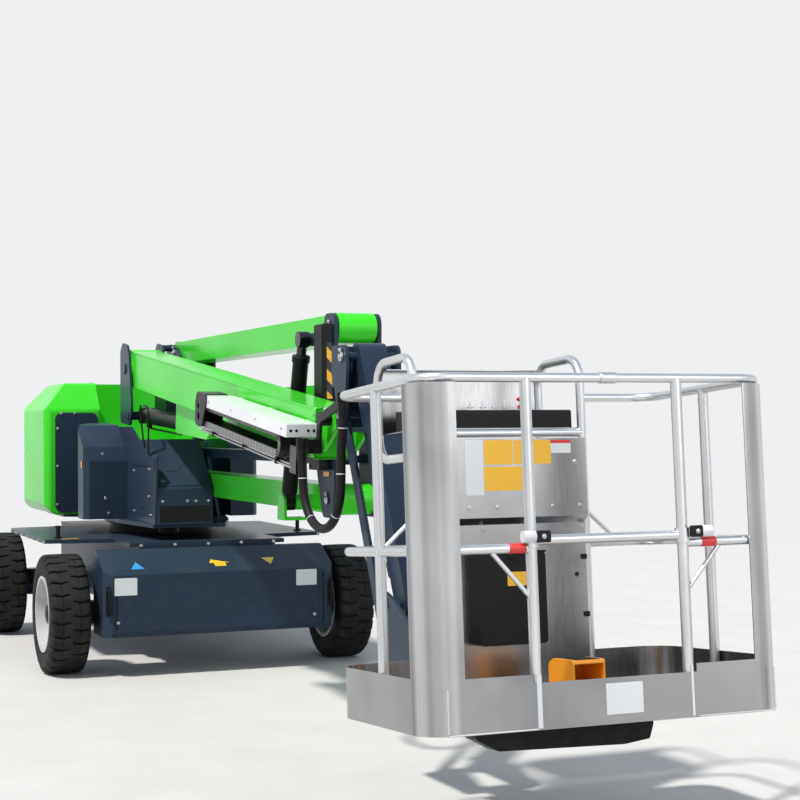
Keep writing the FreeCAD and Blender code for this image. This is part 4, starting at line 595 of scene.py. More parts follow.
def finish_for(node):
    """Finish of the longest name that the node's name starts with."""
    matches = [(len(key), finish) for finish, keys in NODE_FINISHES.items() for key in keys
               if node.startswith(key)]
    return max(matches)[1]


class LIFT_OT_finishes(bpy.types.Operator):
    """Makes the finishes and gives each CAD node its own"""
    bl_idname = "lift.finishes"
    bl_label = "Finishes"

    def execute(self, context):
        weathering_group()
        grain_group()
        stripe_group()
        colours = context.scene.lift_colours
        paint("green paint", tuple(colours.green), 0.10, 0.24, 0.15, shine=0.22)
        paint("hood paint", tuple(colours.green), 0.10, 0.26, 0.15, 0.02, shine=0.22)
        paint("slate paint", tuple(colours.slate), 0.06, 0.30, 0.0, shine=0.12)
        paint("black paint", (0.006, 0.006, 0.007), 0.08, 0.32, 0.0, shine=0.12)
        paint("pale paint", tuple(colours.pale), 0.10, 0.30, 0.3)
        paint("amber paint", tuple(colours.amber), 0.08, 0.30, 0.3)
        paint("red plastic", (0.62, 0.015, 0.012), 0.05, 0.30, 0.4, 0.001)
        paint("amber label", (0.78, 0.43, 0.025), 0.03, 0.40, 0.0, 0.0005)
        paint("blue mark", (0.04, 0.30, 0.66), 0.10, 0.35, 0.1, 0.0005)
        paint("yellow mark", (0.80, 0.50, 0.02), 0.10, 0.35, 0.1, 0.0005)
        paint("silver paint", (0.50, 0.51, 0.52), 0.25, 0.35, 0.2)
        paint("white plate", (0.64, 0.66, 0.68), 0.05, 0.35, 0.0, 0.0005)
        banded("hazard tape", (0.012, 0.012, 0.012), (0.88, 0.42, 0.015), 0.055)
        metal("chrome", *ROD_COLOURS, 0.10, (4.0, 60.0, 60.0))
        rod_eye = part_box("riser_cylinder_rod")[1].z - RISER_EYE
        metal("riser rod", *ROD_COLOURS, 0.10, (60.0, 60.0, 4.0), end=("Z", rod_eye))
        rod_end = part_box("push_rod")[1].x - PUSH_ROD_BLOCK
        metal("push rod steel", (0.62, 0.63, 0.64), (0.44, 0.45, 0.46), 0.26, (4.0, 300.0, 300.0),
              end=("X", rod_end))
        metal("steel", (0.58, 0.59, 0.60), (0.40, 0.41, 0.42), 0.30, (4.0, 300.0, 300.0))
        metal("zinc bolt", (0.62, 0.61, 0.57), (0.42, 0.41, 0.38), 0.28, (200.0, 200.0, 200.0), 20.0, 0.0006)
        metal("aluminium tube", (0.80, 0.81, 0.82), (0.58, 0.59, 0.60), 0.34, (60.0, 60.0, 60.0), 4.0)
        # The sheet's dark grey lies far below its light one, so the painted reflection bands run strongly
        # from dark to light
        metal("aluminium sheet", (0.68, 0.68, 0.68), (0.20, 0.205, 0.21), 0.22, (160.0, 160.0, 5.0), 1.3,
              bump=0.02, lines=0.10)
        moulded("rubber", (0.011, 0.011, 0.012), 0.68, 0.16)
        moulded("black plastic", (0.008, 0.008, 0.009), 0.45, 0.08)
        # Grey for the black chain's ribs: a painted highlight where they catch the light
        moulded("painted highlight plastic", (0.34, 0.345, 0.35), 0.45, 0.05)
        moulded("sleeve", (0.010, 0.010, 0.011), 0.55, 0.10, 0.8, fine=900.0)
        for name, node in NODES.items():
            node.data.materials.clear()
            node.data.materials.append(bpy.data.materials[finish_for(name)])
        return {"FINISHED"}


# One pitch of the tread: share of the pitch, offset in half groove widths, share of the groove's depth
PITCH = np.array([(0, -0.75, 1), (0, 0.75, 1), (0, 1, 0.05), (0, 1.25, 0), (0.25, 0, 0), (0.5, 0, 0),
                  (0.75, 0, 0), (1, -1.25, 0), (1, -1, 0.05)])
PITCHES = 27
# Half a tyre's section: across, radius, groove depth, slant of the groove, half its width
SECTION = np.array([(7, 356, 0, 0, 5), (9, 355.8, 14, 0, 5), (30, 355.8, 17, 0.02, 5.5),
                    (46, 355.6, 17, 0.1, 6.5), (49, 352, 14, 0.1, 6.5), (52, 352, 14, 0.1, 6.5),
                    (54, 355.4, 18, 0.09, 6.8), (72, 355, 19, 0.06, 8), (90, 354, 20, 0, 10),
                    (101, 350.5, 20, -0.02, 12), (108, 344, 18, -0.02, 13), (114, 330, 13, -0.02, 14),
                    (117, 316, 8, -0.02, 14), (118.5, 305, 0, 0, 14), (119.4, 296, 0, 0, 14),
                    (118, 290, 0, 0, 14), (119.6, 280, 0, 0, 14), (117.5, 262, 0, 0, 14),
                    (113, 246, 0, 0, 14), (108, 238, 0, 0, 14), (102, 228, 0, 0, 14),
                    (102, 222.6, 0, 0, 14)])
# A wheel's nuts: how many, the radius of their circle, and how far out the rim's face stands
NUTS = 9
NUT_CIRCLE = 72
RIM_FACE = 62


def tyre(depth):
    """Lugged tyre about its own middle, its axle along y.

    P(i, j) = (r sin a, w(i), r cos a), where a = (k + share(j) + slant(i)) 2 pi / PITCHES +
    offset(j) half(i) / R(i) and r = R(i) - depth groove(i) cut(j).
    """
    left = SECTION[::-1].copy()
    left[:, 0] *= -1
    left[:, 3] += 0.5
    rows = np.concatenate([left, [(0, 356, 0, 0.25, 3)], SECTION])
    w, radius, groove, slant, half = (column[:, None, None] for column in rows.T)
    k = np.arange(PITCHES)[None, :, None]
    share, offset, cut = (column[None, None, :] for column in PITCH.T)
    turn = (k + share + slant) * 2 * math.pi / PITCHES + offset * half / radius
    r = radius - depth * groove * cut + 0 * k
    points = np.stack([r * np.sin(turn), w + 0 * turn, r * np.cos(turn)], -1)
    return points.reshape(-1, 3), quads(len(rows), PITCHES * len(PITCH), True, True)


class LIFT_OT_wheels(bpy.types.Operator):
    """Tyres with a cut tread, and the hub cap, nuts and valve of each wheel"""
    bl_idname = "lift.wheels"
    bl_label = "Wheels"

    def execute(self, context):
        tread = tyre(context.scene.lift_sizes.tread_depth)
        turn = np.linspace(0, 2 * math.pi, NUTS, endpoint=False)
        spots = np.stack([NUT_CIRCLE * np.cos(turn), RIM_FACE + 0 * turn, NUT_CIRCLE * np.sin(turn)], -1)
        nuts = bolts(spots, Y, 24)
        cap = lathe([(0, 24), (50, 21), (53, 16), (53, 0), (57, 0), (57, 17), (54, 23), (40, 26), (32, 30),
                     (10, 32), (0, 32)], (0, RIM_FACE, 0), Y, 36)
        valve = joined(pipe([(0, 30, 160), (0, 42, 160), (0, 60, 152)], 5, 8, X),
                       disc(6.5, 10, (0, 58, 153), (0, 0.9, -0.4), 1, 12))
        for end in ("front", "rear"):
            for side, out in (("left", 1), ("right", -1)):
                name = f"{end}_{side}"
                centre = middle("tyre_" + name)
                body = "wheel_" + name

                def place(points, centre=centre, out=out):
                    """Millimetres about the wheel's middle, with y outward, as the scene's metres."""
                    local = np.asarray(points, float).reshape(-1, 3) * (1, out, 1)
                    return np.array(centre) + local / 1000

                piece(f"tread_{name}", tread, "rubber", body, place, replaces=["tyre_" + name])
                piece(f"wheel_nuts_{name}", nuts, "zinc bolt", body, place)
                piece(f"hub_cap_{name}", cap, "black paint", body, place)
                piece(f"valve_{name}", valve, "black plastic", body, place)
        return {"FINISHED"}


# Front face of the beam cover, and height of the row of bolts in the deck's edges
BEAM_FACE = 400
DECK_ROW = 752


class LIFT_OT_chassis(bpy.types.Operator):
    """Grab straps, bolts, blank plates and marks of the chassis"""
    bl_idname = "lift.chassis"
    bl_label = "Chassis"

    def execute(self, context):
        straps = joined(facing_x(-703, -677, 365, 545, 401, 4, 14), facing_x(672, 698, 365, 545, 401, 4, 14),
                        *(pipe([(401, y, 385), (418, y, 395), (418, y, 515), (401, y, 525)], 7, 16, Y)
                          for y in (-690, 685)))
        piece("beam_cover_straps", straps, "black paint", "chassis")
        cover_bolts = bolts([(BEAM_FACE, -630, 328), (BEAM_FACE, 583, 322)], X, 13)
        piece("beam_cover_bolts", cover_bolts, "zinc bolt", "chassis")
        seams = joined(*(facing_x(y - 1.5, y + 1.5, 245, 600, BEAM_FACE, 0.8, 1) for y in (-656, 610)))
        piece("beam_cover_seams", seams, "black plastic", "chassis")
        plates = joined(facing_x(-652, -518, 486, 588, BEAM_FACE, 1.0, 5),
                        facing_x(466, 597, 502, 598, BEAM_FACE, 1.0, 5))
        piece("beam_cover_plates", plates, "white plate", "chassis")
        for name, finish, outline in (
                ("triangle_left_mark", "blue mark", [(-542, 60), (-459, 60), (-500, 136)]),
                ("arrow_mark", "yellow mark", [(72, 96), (42, 96), (42, 60), (-28, 60), (-28, 96), (-58, 96),
                                               (-40, 136)]),
                ("triangle_right_mark", "yellow mark", [(321, 60), (362, 136), (280, 136)])):
            piece(name, slab(outline, (0, 0, 0.1), Y, (-1, 0, 0), 0.9), finish, "chassis", BEAM_SLOPE)
        side_row = np.arange(-1700, -430, 210)
        for name, spots, axis in (
                ("deck_front_bolts", [(95, y, DECK_ROW) for y in (-420, -210, 0, 210, 420)], X),
                ("deck_side_bolts", [(x, -905, DECK_ROW) for x in side_row], RIGHT),
                ("deck_left_bolts", [(x, 905, DECK_ROW) for x in side_row], Y)):
            piece(name, bolts(spots, axis, 15), "zinc bolt", "chassis")
        posts = joined(*(joined(disc(26, 8, (-560, y, 770), Z), disc(13, 60, (-560, y, 778), Z, 4),
                                disc(20, 10, (-560, y, 838), Z, 3)) for y in (-800, 800)))
        piece("deck_posts", posts, "black plastic", "chassis")
        piece("deck_mark", facing_z(-470, -432, -800, -690, 770, 1.0, 3), "amber label", "chassis")
        return {"FINISHED"}


# Faces that the turntable's fine pieces lie on: the hood's front and rear, and the side plate
HOOD_FRONT = -1495.7
HOOD_REAR = -2452
SIDE_PLATE = -308.6


class LIFT_OT_turntable(bpy.types.Operator):
    """Bolts, beads, latches, reflectors, hose loops, vents and slew drive of the turntable"""
    bl_idname = "lift.turntable"
    bl_label = "Turntable"

    def execute(self, context):
        size = context.scene.lift_sizes.cover_bolt * 1000
        face = [(HOOD_FRONT, side * y, z) for side in (-1, 1)
                for y, z in ((598, 1565), (503, 1567), (622, 1462), (622, 1202), (622, 937))]
        piece("hood_front_bolts", bolts(face, X, size), "zinc bolt", "turntable")
        trims = joined(*(pipe([(-1500, y, 1588), (-1670, y, 1781), (-1985, y, 1781)], 5, 40)
                         for y in (-331, 331)))
        piece("hood_channel_beads", trims, "green paint", "turntable")
        sides = [(-780, -465, 1295), (-760, -449, 1006), (-760, -429, 909)]
        piece("side_box_front_bolts", bolts(sides, X, size), "zinc bolt", "turntable")
        latches = joined(*(joined(facing_y(x, x + 70, 1130, 1170, 595, 5, 6),
                                  facing_y(x + 12, x + 58, 1142, 1158, 600, 6, 6)) for x in (-1240, -930)))
        piece("side_box_latches", latches, "black plastic", "turntable", edge=1)
        reflectors = joined(*(facing_y(-850, -822, 1202, 1250, y, 2.4, 4) for y in (-592.4, 590)))
        piece("side_reflectors", reflectors, "amber paint", "turntable")
        plate = [(x, SIDE_PLATE, z) for x, z in
                 ((-150, 1207), (-165, 1037), (-115, 923), (-560, 1190), (-560, 930))]
        piece("side_plate_bolts", bolts(plate, RIGHT, size), "zinc bolt", "turntable")
        # Thin black sheets on the side plate and the turntable's front: painted shade
        dark = joined(facing_y(-352, -320, 948, 972, -309.4, 0.8, 6),
                      facing_y(-600, -20, 1224, 1228, -309.4, 0.8, 1),
                      facing_x(-280, 45, 885, 984, 0.1, 1.4, 6))
        piece("turntable_painted_shade", dark, "black plastic", "turntable")
        row = [(0.2, y, z) for y, z in ((-105, 1013), (-52, 1012), (-262, 1013), (28, 1013))]
        piece("front_cover_bolts", bolts(row, X, 12), "zinc bolt", "turntable")
        arc_turn = np.linspace(-0.3, 2.0, 24)
        arc = np.stack([-235 + 90 * np.cos(arc_turn), -190 + 90 * np.sin(arc_turn), 0 * arc_turn], -1)
        ledge = joined(carried(arc, circle(3.5, 10)), facing_z(-60, -20, -270, -20, 0, 5, 8))
        piece("front_cover_ledge", ledge, "slate paint", "turntable", FRONT_SLOPE, edge=1.5)
        loops = joined(*(pipe([(x, -302, z) for x, z in path], 6, 60, Y) for path in (
            ((-197, 1300), (-200, 1425), (-182, 1540), (-221, 1603), (-322, 1604)),
            ((-405, 1610), (-386, 1502), (-305, 1330)))))
        piece("side_loops", loops, "black paint", "turntable")
        vents = joined(*(facing_x(y, y + 310, z, z + 14, HOOD_REAR, 3, 5)
                         for y in (-560, 250) for z in np.arange(1050, 1300, 34)))
        piece("hood_rear_vents", vents, "black plastic", "turntable", edge=1)
        drive = joined(disc(70, 69, (-650, -60, 776), Z, 4), disc(46, 40, (-650, -60, 738), Z, 4),
                       ring(372, 346, 12, (-1087.5, 0, 833), Z, 72))
        piece("slew_drive", drive, "black paint", "turntable")
        return {"FINISHED"}


def cylinder_dress(name, x, z, degrees, y, barrel, rod, side=1):
    """Gland ring, ports and side pipe of a hydraulic cylinder that starts at (x, z) and lies at a slope.

    The gland is the barrel's far end.  The pipe runs above the barrel with side 1, below it with -1.
    """
    corners = points_of(NODES[name + "_cylinder_barrel"].data)
    cos, sin = math.cos(math.radians(degrees)), math.sin(math.radians(degrees))
    gland = float(np.max(((corners[:, 0] - AXLE_X) * 1000 - x) * cos + (corners[:, 2] * 1000 - z) * sin))
    seat = side * (barrel - 2)
    collar = [(barrel, gland - 34), (barrel + 6, gland - 30), (barrel + 6, gland - 3), (barrel + 3, gland),
              (rod + 3, gland + 2), (rod + 1, gland + 8), (rod + 0.4, gland + 8), (rod + 0.4, gland - 34),
              (barrel, gland - 34)]
    made = joined(lathe(collar, (0, y, 0), X, 36),
                  facing_z(gland - 80, gland - 50, y - 15, y + 15, seat, side * 20, 4),
                  facing_z(60, 92, y - 16, y + 16, seat, side * 22, 4),
                  pipe([(gland - 65, y, side * (barrel + 16)), (gland - 65, y, side * (barrel + 26)),
                        (110, y, side * (barrel + 26)), (76, y, side * (barrel + 14))], 6, 24, Y),
                  bolts([(gland - 65, y - 9, side * (barrel + 18)), (76, y + 10, side * (barrel + 20))],
                        (0, 0, side), 10))
    piece(name + "_cylinder_fittings", made, "black paint", name + "_barrel", tilted(x, z, degrees), edge=0.8)


class LIFT_OT_riser(bpy.types.Operator):
    """Pin caps, guard, valve box and the cylinder's fittings of the riser"""
    bl_idname = "lift.riser"
    bl_label = "Riser"

    def execute(self, context):
        for body, pins, right, left, radius in (
                ("turntable", [(-950, 1104), (-1050, 1304)], 39, 291, 26),
                ("mid_link", [(2150, 1104), (2050, 1304), (2200, 1966), (2100, 1640)], 39, 291, 24),
                ("boom_knuckle", [(-900, 1966), (-1000, 1640)], 44, 286, 26)):
            piece(f"{body}_pin_caps", pin_caps(pins, right, left, radius), "steel", body)
        guard = joined(facing_x(-25, 38, 1590, 1985, 2140, 118, 12),
                       facing_x(-18, 31, 1602, 1973, 2256, 6, 9))
        piece("mid_link_guard", guard, "black plastic", "mid_link", edge=3)
        piece("mid_link_tape", facing_x(0, 29, 1612, 1890, 2262, 0.8, 2), "hazard tape", "mid_link")
        box = joined(facing_y(2050, 2205, 1255, 1399, 37, 60, 8),
                     bolts([(2072, -23, 1275), (2183, -23, 1380)], RIGHT, 12))
        piece("mid_link_valve_box", box, "black plastic", "mid_link", edge=2)
        piece("mid_link_reflector", facing_y(2110, 2190, 1222, 1246, 36.4, 2.4, 4), "amber paint", "mid_link")
        cylinder_dress("riser", 1720, 1075, 74.13, -22, 41, 26)
        return {"FINISHED"}


def collar_frame(outer, inner, a0, a1):
    """Closed collar between two outlines (across, above) of as many points, from a0 to a1 along.

    Its four rows are the outer outline at a0 and a1 and the inner one at a1 and a0.
    """
    rings = [np.column_stack([np.full(len(rows), a), rows]) for rows, a in
             ((outer, a0), (outer, a1), (inner, a1), (inner, a0))]
    return np.concatenate(rings), quads(4, len(outer), True, True)


class LIFT_OT_boom(bpy.types.Operator):
    """Welds, collar, pad bolts, cover trim and chain links of the boom"""
    bl_idname = "lift.boom"
    bl_label = "Boom"

    def execute(self, context):
        seams = joined(*(bead((150, y, b), (3690, y, b), 2.4) for y in (-275.4, -74.6) for b in (-102, 116)))
        piece("boom_seams", seams, "green paint", "boom", BOOM)
        pad_rows = (-70, -20, 40, 92)
        pads = joined(bolts([(3716, -276, b) for b in pad_rows], RIGHT, 16),
                      bolts([(3716, -74, b) for b in pad_rows], Y, 16),
                      bolts([(3716, y, 122) for y in (-240, -175, -110)], Z, 16))
        piece("boom_pad_bolts", pads, "zinc bolt", "boom", BOOM)
        collar = collar_frame(rounded_rect(-279, -71, -112, 126, 14),
                              rounded_rect(-262, -88, -92, 106, 10), 3700, 3740)
        piece("boom_front_collar", collar, "green paint", "boom", BOOM, edge=1)
        cylinder_dress("boom", -760, 1545, -2.84, -175, 52, 33, -1)
        trim = facing_x(-445, -295, 4, 60, 3831, 2, 6)
        piece("chain_cover_end", trim, "pale paint", "boom", BOOM, edge=0.6)
        holes = joined(*(disc(7, 1, (3833, y, 32), X, 0.4, 16) for y in (-425, -398, -342, -315)))
        piece("chain_cover_holes", holes, "black plastic", "boom", BOOM)
        screws = bolts([(a, -445, 34) for a in np.arange(2560, 3800, 400)], RIGHT, 9)
        piece("chain_cover_screws", screws, "zinc bolt", "boom", BOOM)
        links = joined(*(facing_y(a, a + 40, -22, 10, y, 1.8, 9)
                         for a in np.arange(2440, 3620, 50) for y in (-424.6, -316.8)))
        piece("chain_link_sides", links, "black plastic", "boom", BOOM)
        bars = joined(*(facing_z(a, a + 10, -420, -320, 12, 2.5, 2) for a in np.arange(2450, 3620, 25)))
        piece("chain_bars", bars, "black plastic", "boom", BOOM)
        # Ribs in grey on the black chain, as a painted highlight
        ribs = joined(*(facing_y(a, a + 13, b0, b1, -426, thick, 3)
                        for b0, b1, thick in ((-114, -76, 2.6), (-20, 8, 1.4))
                        for a in np.arange(2420, 3640, 25)))
        piece("chain_ribs", ribs, "painted highlight plastic", "boom", BOOM)
        # Loop ribs in grey as well, a painted highlight
        turn = np.linspace(-math.pi / 2, math.pi / 2, 25)
        arcs = [np.stack([3632 + r * np.cos(turn), -425 + 0 * turn, -50 + r * np.sin(turn)], -1)
                for r in (30, 42, 54)]
        loops = joined(*(carried(arc, circle(1.8, 8), Y) for arc in arcs))
        piece("chain_loop_ribs", loops, "painted highlight plastic", "boom", BOOM)
        piece("nose_pin_caps", pin_caps([(3898, 93)], -280, -70, 30), "steel", "fly", BOOM)
        line = pipe([(2230, -402, -140), (3000, -402, -139), (3790, -402, -140)], 5, 30)
        piece("fly_second_line", line, "steel", "fly", BOOM)
        clamps = joined(*(facing_z(a, a + 26, -410, -372, -150, 30, 5) for a in (2500, 3040, 3560)))
        piece("push_rod_clamps", clamps, "black paint", "fly", BOOM, edge=1.5)
        return {"FINISHED"}


# Control points of the sleeved hose from its bracket back to the fly's side, as in the CAD source
HOSE_ROUTE = [(3018, -390, 1380), (3018, -390, 1268), (3030, -386, 1149), (3097, -377, 1057),
              (3205, -364, 1022), (3313, -353, 1057), (3380, -346, 1149), (3385, -342, 1262),
              (3378, -340, 1372), (3404, -339, 1476), (3404, -339, 1578)]


class LIFT_OT_hose(bpy.types.Operator):
    """The sleeved hose, its ties and its gland nuts"""
    bl_idname = "lift.hose"
    bl_label = "Hose"

    def execute(self, context):
        route = GROUND(HOSE_ROUTE)
        curve = bpy.data.curves.new("hose_line", "CURVE")
        curve.dimensions = "3D"
        spline = curve.splines.new("NURBS")
        spline.points.add(len(route) - 1)
        for point, place in zip(spline.points, route):
            point.co = (*place, 1.0)
        spline.order_u = 3
        spline.use_endpoint_u = True
        curve.resolution_u = 16
        line = bpy.data.objects.new("sleeved_hose", curve)
        context.scene.collection.objects.link(line)
        context.view_layer.update()
        bare = bpy.data.meshes.new_from_object(line)
        path = points_of(bare) * 1000 - (AXLE_X * 1000, 0, 0)
        bpy.data.meshes.remove(bare)
        curve.bevel_depth = 0.020
        curve.bevel_resolution = 8
        curve.use_fill_caps = True
        curve.materials.append(bpy.data.materials["sleeve"])
        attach(line, "fly")
        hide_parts("hose")
        steps = np.linalg.norm(np.diff(path, axis=0), axis=1)
        run = np.concatenate([[0], np.cumsum(steps)])

        def sleeve_bit(start, end, radius):
            """Round length of the hose's line, between two shares of its run."""
            ends = np.linspace(start, end, 5) * run[-1]
            rows = np.stack([np.interp(ends, run, path[:, k]) for k in range(3)], -1)
            return carried(rows, circle(radius, 20), Y)

        bands = joined(*(sleeve_bit(s, s + 0.004, 20.9) for s in (0.12, 0.30, 0.55, 0.72, 0.90)))
        ties = piece("hose_ties", bands, "white plate", "fly")
        glands = joined(sleeve_bit(0.0, 0.028, 25), sleeve_bit(0.972, 1.0, 25),
                        sleeve_bit(0.028, 0.05, 22.5), sleeve_bit(0.95, 0.972, 22.5))
        nuts = piece("hose_gland_nuts", glands, "black plastic", "fly")
        return {"FINISHED"}


class LIFT_OT_jib(bpy.types.Operator):
    """Pin caps and cylinder fittings of the jib"""
    bl_idname = "lift.jib"
    bl_label = "Jib"

    def execute(self, context):
        head = pin_caps([(3230, 1780), (3200, 1530)], -281, -19, 22)
        piece("jib_head_pin_caps", head, "steel", "jib_head")
        foot = pin_caps([(3734, 746), (3704, 496)], -281, -19, 20)
        piece("carrier_pin_caps", foot, "steel", "carrier")
        cylinder_dress("jib", 3200, 1530, -61.2, -150, 30, 17)
        return {"FINISHED"}


def tread_plate():
    """Raised slanted bars of tread plate, in rows that lean to either side in turn.

    P(k, j) = (a(k), y(k), 0.2) + (1, slant(k), 1) corner(j), with a bar's eight corners.
    """
    bars = np.array([(a, y, 1 if row % 2 else -1) for row, a in enumerate(np.arange(150, 930, 26))
                     for y in np.arange(-680 + 13 * (row % 2), 640, 26)])
    corners = np.array([(-7, -7, 0), (-5.5, -8.5, 0), (7, 7, 0), (5.5, 8.5, 0), (-5, -5, 1.5),
                        (-4, -6, 1.5), (5, 5, 1.5), (4, 6, 1.5)])
    sides = np.array([(0, 1, 2, 3), (0, 4, 5, 1), (1, 5, 6, 2), (2, 6, 7, 3), (3, 7, 4, 0), (4, 7, 6, 5)])
    lean = np.stack([np.ones(len(bars)), bars[:, 2], np.ones(len(bars))], -1)
    spots = np.stack([bars[:, 0], bars[:, 1], np.full(len(bars), 0.2)], -1)
    points = corners[None] * lean[:, None] + spots[:, None]
    faces = sides[None] + len(corners) * np.arange(len(bars))[:, None, None]
    return points.reshape(-1, 3), faces.reshape(-1, 4).tolist()


# Front face of the console panel, top of the console, and the platform's front rails along the floor
PANEL_FACE = 192.1
CONSOLE_TOP = 1116
FRONT_RAIL = 932.7


class LIFT_OT_platform(bpy.types.Operator):
    """Tread plate, welds, blank labels, controls, clamps and rollers of the platform"""
    bl_idname = "lift.platform"
    bl_label = "Platform"

    def execute(self, context):
        body = "platform"
        piece("floor_tread", tread_plate(), "aluminium sheet", body, FLOOR)
        welds = joined(*(bead((957, y, 143), (957, y, 0), 3) for y in (-640, 600)),
                       *(bead((957, y0, -6), (957, y1, -6), 3) for y0, y1 in ((-640, -320), (290, 600))))
        piece("toe_board_welds", welds, "aluminium tube", body, FLOOR)
        for name, finish, spots in (
                ("panel_white_label", "white plate", [(-201, -126, 776, 985)]),
                ("panel_amber_labels", "amber label", [(-121, -2, 891, 984), (2, 161, 892, 983),
                                                       (-124, 38, 792, 883)]),
                ("panel_small_label", "white plate", [(162, 248, 932, 970)]),
                ("panel_red_strip", "red plastic", [(162, 248, 970, 981)])):
            labels = joined(*(facing_x(*spot, PANEL_FACE, 0.8, 3) for spot in spots))
            piece(name, labels, finish, body, FLOOR)
        row = [(PANEL_FACE, y, 730) for y in np.linspace(-191, 279, 5)]
        row += [(PANEL_FACE, 264, 898), (157.1, -121, 650), (157.1, 306, 648)]
        piece("panel_screws", bolts(row, X, 12), "zinc bolt", body, FLOOR)
        toggles = joined(*(joined(disc(13, 4, (60, y, CONSOLE_TOP), Z, 1, 20),
                                  pipe([(60, y, 1118), (57, y, 1134), (52, y, 1146)], 4, 6, Y))
                           for y in (-110, -57, -8, 38)))
        piece("control_toggles", toggles, "steel", body, FLOOR)
        knob = [(0, 0), (12, 2), (17, 16), (17, 46), (12, 56), (0, 58)]
        boot = [(22, 0), (26, 4), (20, 12), (15, 20), (12, 30), (7, 40), (6, 44)]
        levers = joined(*(joined(disc(24, 5, (20, y, CONSOLE_TOP), Z, 2),
                                 pipe([(20, y, 1120), (20, y, 1190)], 6, 4, Y),
                                 lathe(knob, (20, y, 1180), Z, 20), lathe(boot, (20, y, 1119), Z, 24))
                          for y in (-280, -215)))
        piece("control_levers", levers, "black plastic", body, FLOOR)
        mushroom = [(0, 0), (11, 0), (11, 16), (22, 20), (24, 27), (18, 33), (0, 35)]
        stop = joined(disc(20, 14, (60, 114, 1114), Z, 3, 24), lathe(mushroom, (60, 114, 1126), Z, 28))
        piece("control_stop", stop, "red plastic", body, FLOOR)
        box = joined(facing_z(155, 241, -186, 102, 556, 8, 8), facing_x(-58, -26, 536, 566, 238, 6, 4))
        piece("document_box_lid", box, "black plastic", body, FLOOR, edge=2)
        piece("document_box_label", facing_x(-64, 14, 434, 486, 237, 0.8, 3), "amber label", body, FLOOR)
        rollers = joined(disc(20, 55, (958, -353, 620), Y, 5, 24), disc(20, 45, (958, 327, 620), Y, 5, 24))
        clamps = joined(facing_x(-309, -258, 600, 640, 955, 24, 6), facing_x(286, 327, 600, 640, 955, 24, 6))
        piece("gate_rollers", rollers, "white plate", body, FLOOR)
        piece("gate_clamps", clamps, "black plastic", body, FLOOR, edge=2)
        piece("gate_clamp_bolts", bolts([(979, -284, 620), (979, 306, 620)], X, 12), "zinc bolt", body, FLOOR)
        tape = joined(*(pipe([(FRONT_RAIL, y0, 583.5), (FRONT_RAIL, y1, 583.5)], 17.9, 4)
                        for y0, y1 in ((-396, -335), (340, 398))))
        piece("mid_rail_tape", tape, "red plastic", body, FLOOR)
        sleeve = joined(pipe([(FRONT_RAIL, -30, 1149.5), (FRONT_RAIL, 32, 1149.5)], 20, 4),
                        *(pipe([(530, y, 1090), (530, y, 1120)], 20, 4, X) for y in (-688, 638)))
        piece("rail_sleeves", sleeve, "aluminium tube", body, FLOOR, edge=1)
        piece("toe_board_plate", facing_x(-64, 76, 22, 125, 956, 1.0, 4), "white plate", body, FLOOR)
        strips = joined(facing_x(-320, -303, -4, 168, 956, 1.2, 2), facing_x(268, 276, -4, 168, 956, 1.2, 2))
        piece("toe_board_edges", strips, "white plate", body, FLOOR)
        clips = joined(facing_x(296, 314, 522, 542, 157.2, 10, 4), facing_x(300, 318, 301, 321, 157.2, 10, 4),
                       disc(9, 2, (157.2, 272, 465), X, 0.6, 20))
        piece("panel_clips", clips, "black plastic", body, FLOOR, edge=1)
        pedal = joined(*(facing_z(x, x + 12, 20, 118, 175, 2.5, 4) for x in np.arange(424, 590, 26)))
        piece("foot_switch_ribs", pedal, "black plastic", body, FLOOR, edge=0.8)
        return {"FINISHED"}


# Colours of the studio's backdrop, low and high up
BACKDROP = (0.86, 0.87, 0.88)
SKY = (0.46, 0.56, 0.72)
# The photograph's camera: focal length and picture width in its pixels, the sensor's width in
# millimetres, its place, and its heading, pitch and roll in degrees
FOCAL = 1665
PICTURE_WIDTH = 800
SENSOR_WIDTH = 36.0
CAMERA_PLACE = (10040, -2800, 1493)
CAMERA_TURN = (22.31, 0.76, 0.32)


def backdrop_world(scene):
    """World: soft fill light, and a pale backdrop with a gradient to camera, glossy and transmission rays."""
    world = bpy.data.worlds.new("studio")
    scene.world = world
    world.use_nodes = True
    tree = world.node_tree
    tree.nodes.clear()
    path = put(tree, "ShaderNodeLightPath").outputs
    fill = put(tree, "ShaderNodeBackground", Color=(0.80, 0.88, 1.0, 1), Strength=0.62)
    height = put(tree, "ShaderNodeSeparateXYZ",
                 [(0, put(tree, "ShaderNodeTexCoord").outputs["Generated"])]).outputs["Z"]
    shade = blended(tree, ranged(tree, height, 0.27, 0.95), BACKDROP, SKY)
    seen = put(tree, "ShaderNodeBackground", [("Color", shade)], Strength=1.0)
    share = maths(tree, "MAXIMUM", path["Is Camera Ray"], path["Is Transmission Ray"])
    share = maths(tree, "MAXIMUM", share, path["Is Glossy Ray"])
    mix = put(tree, "ShaderNodeMixShader", [(0, share), (1, fill.outputs[0]), (2, seen.outputs[0])])
    put(tree, "ShaderNodeOutputWorld", [("Surface", mix.outputs[0])])


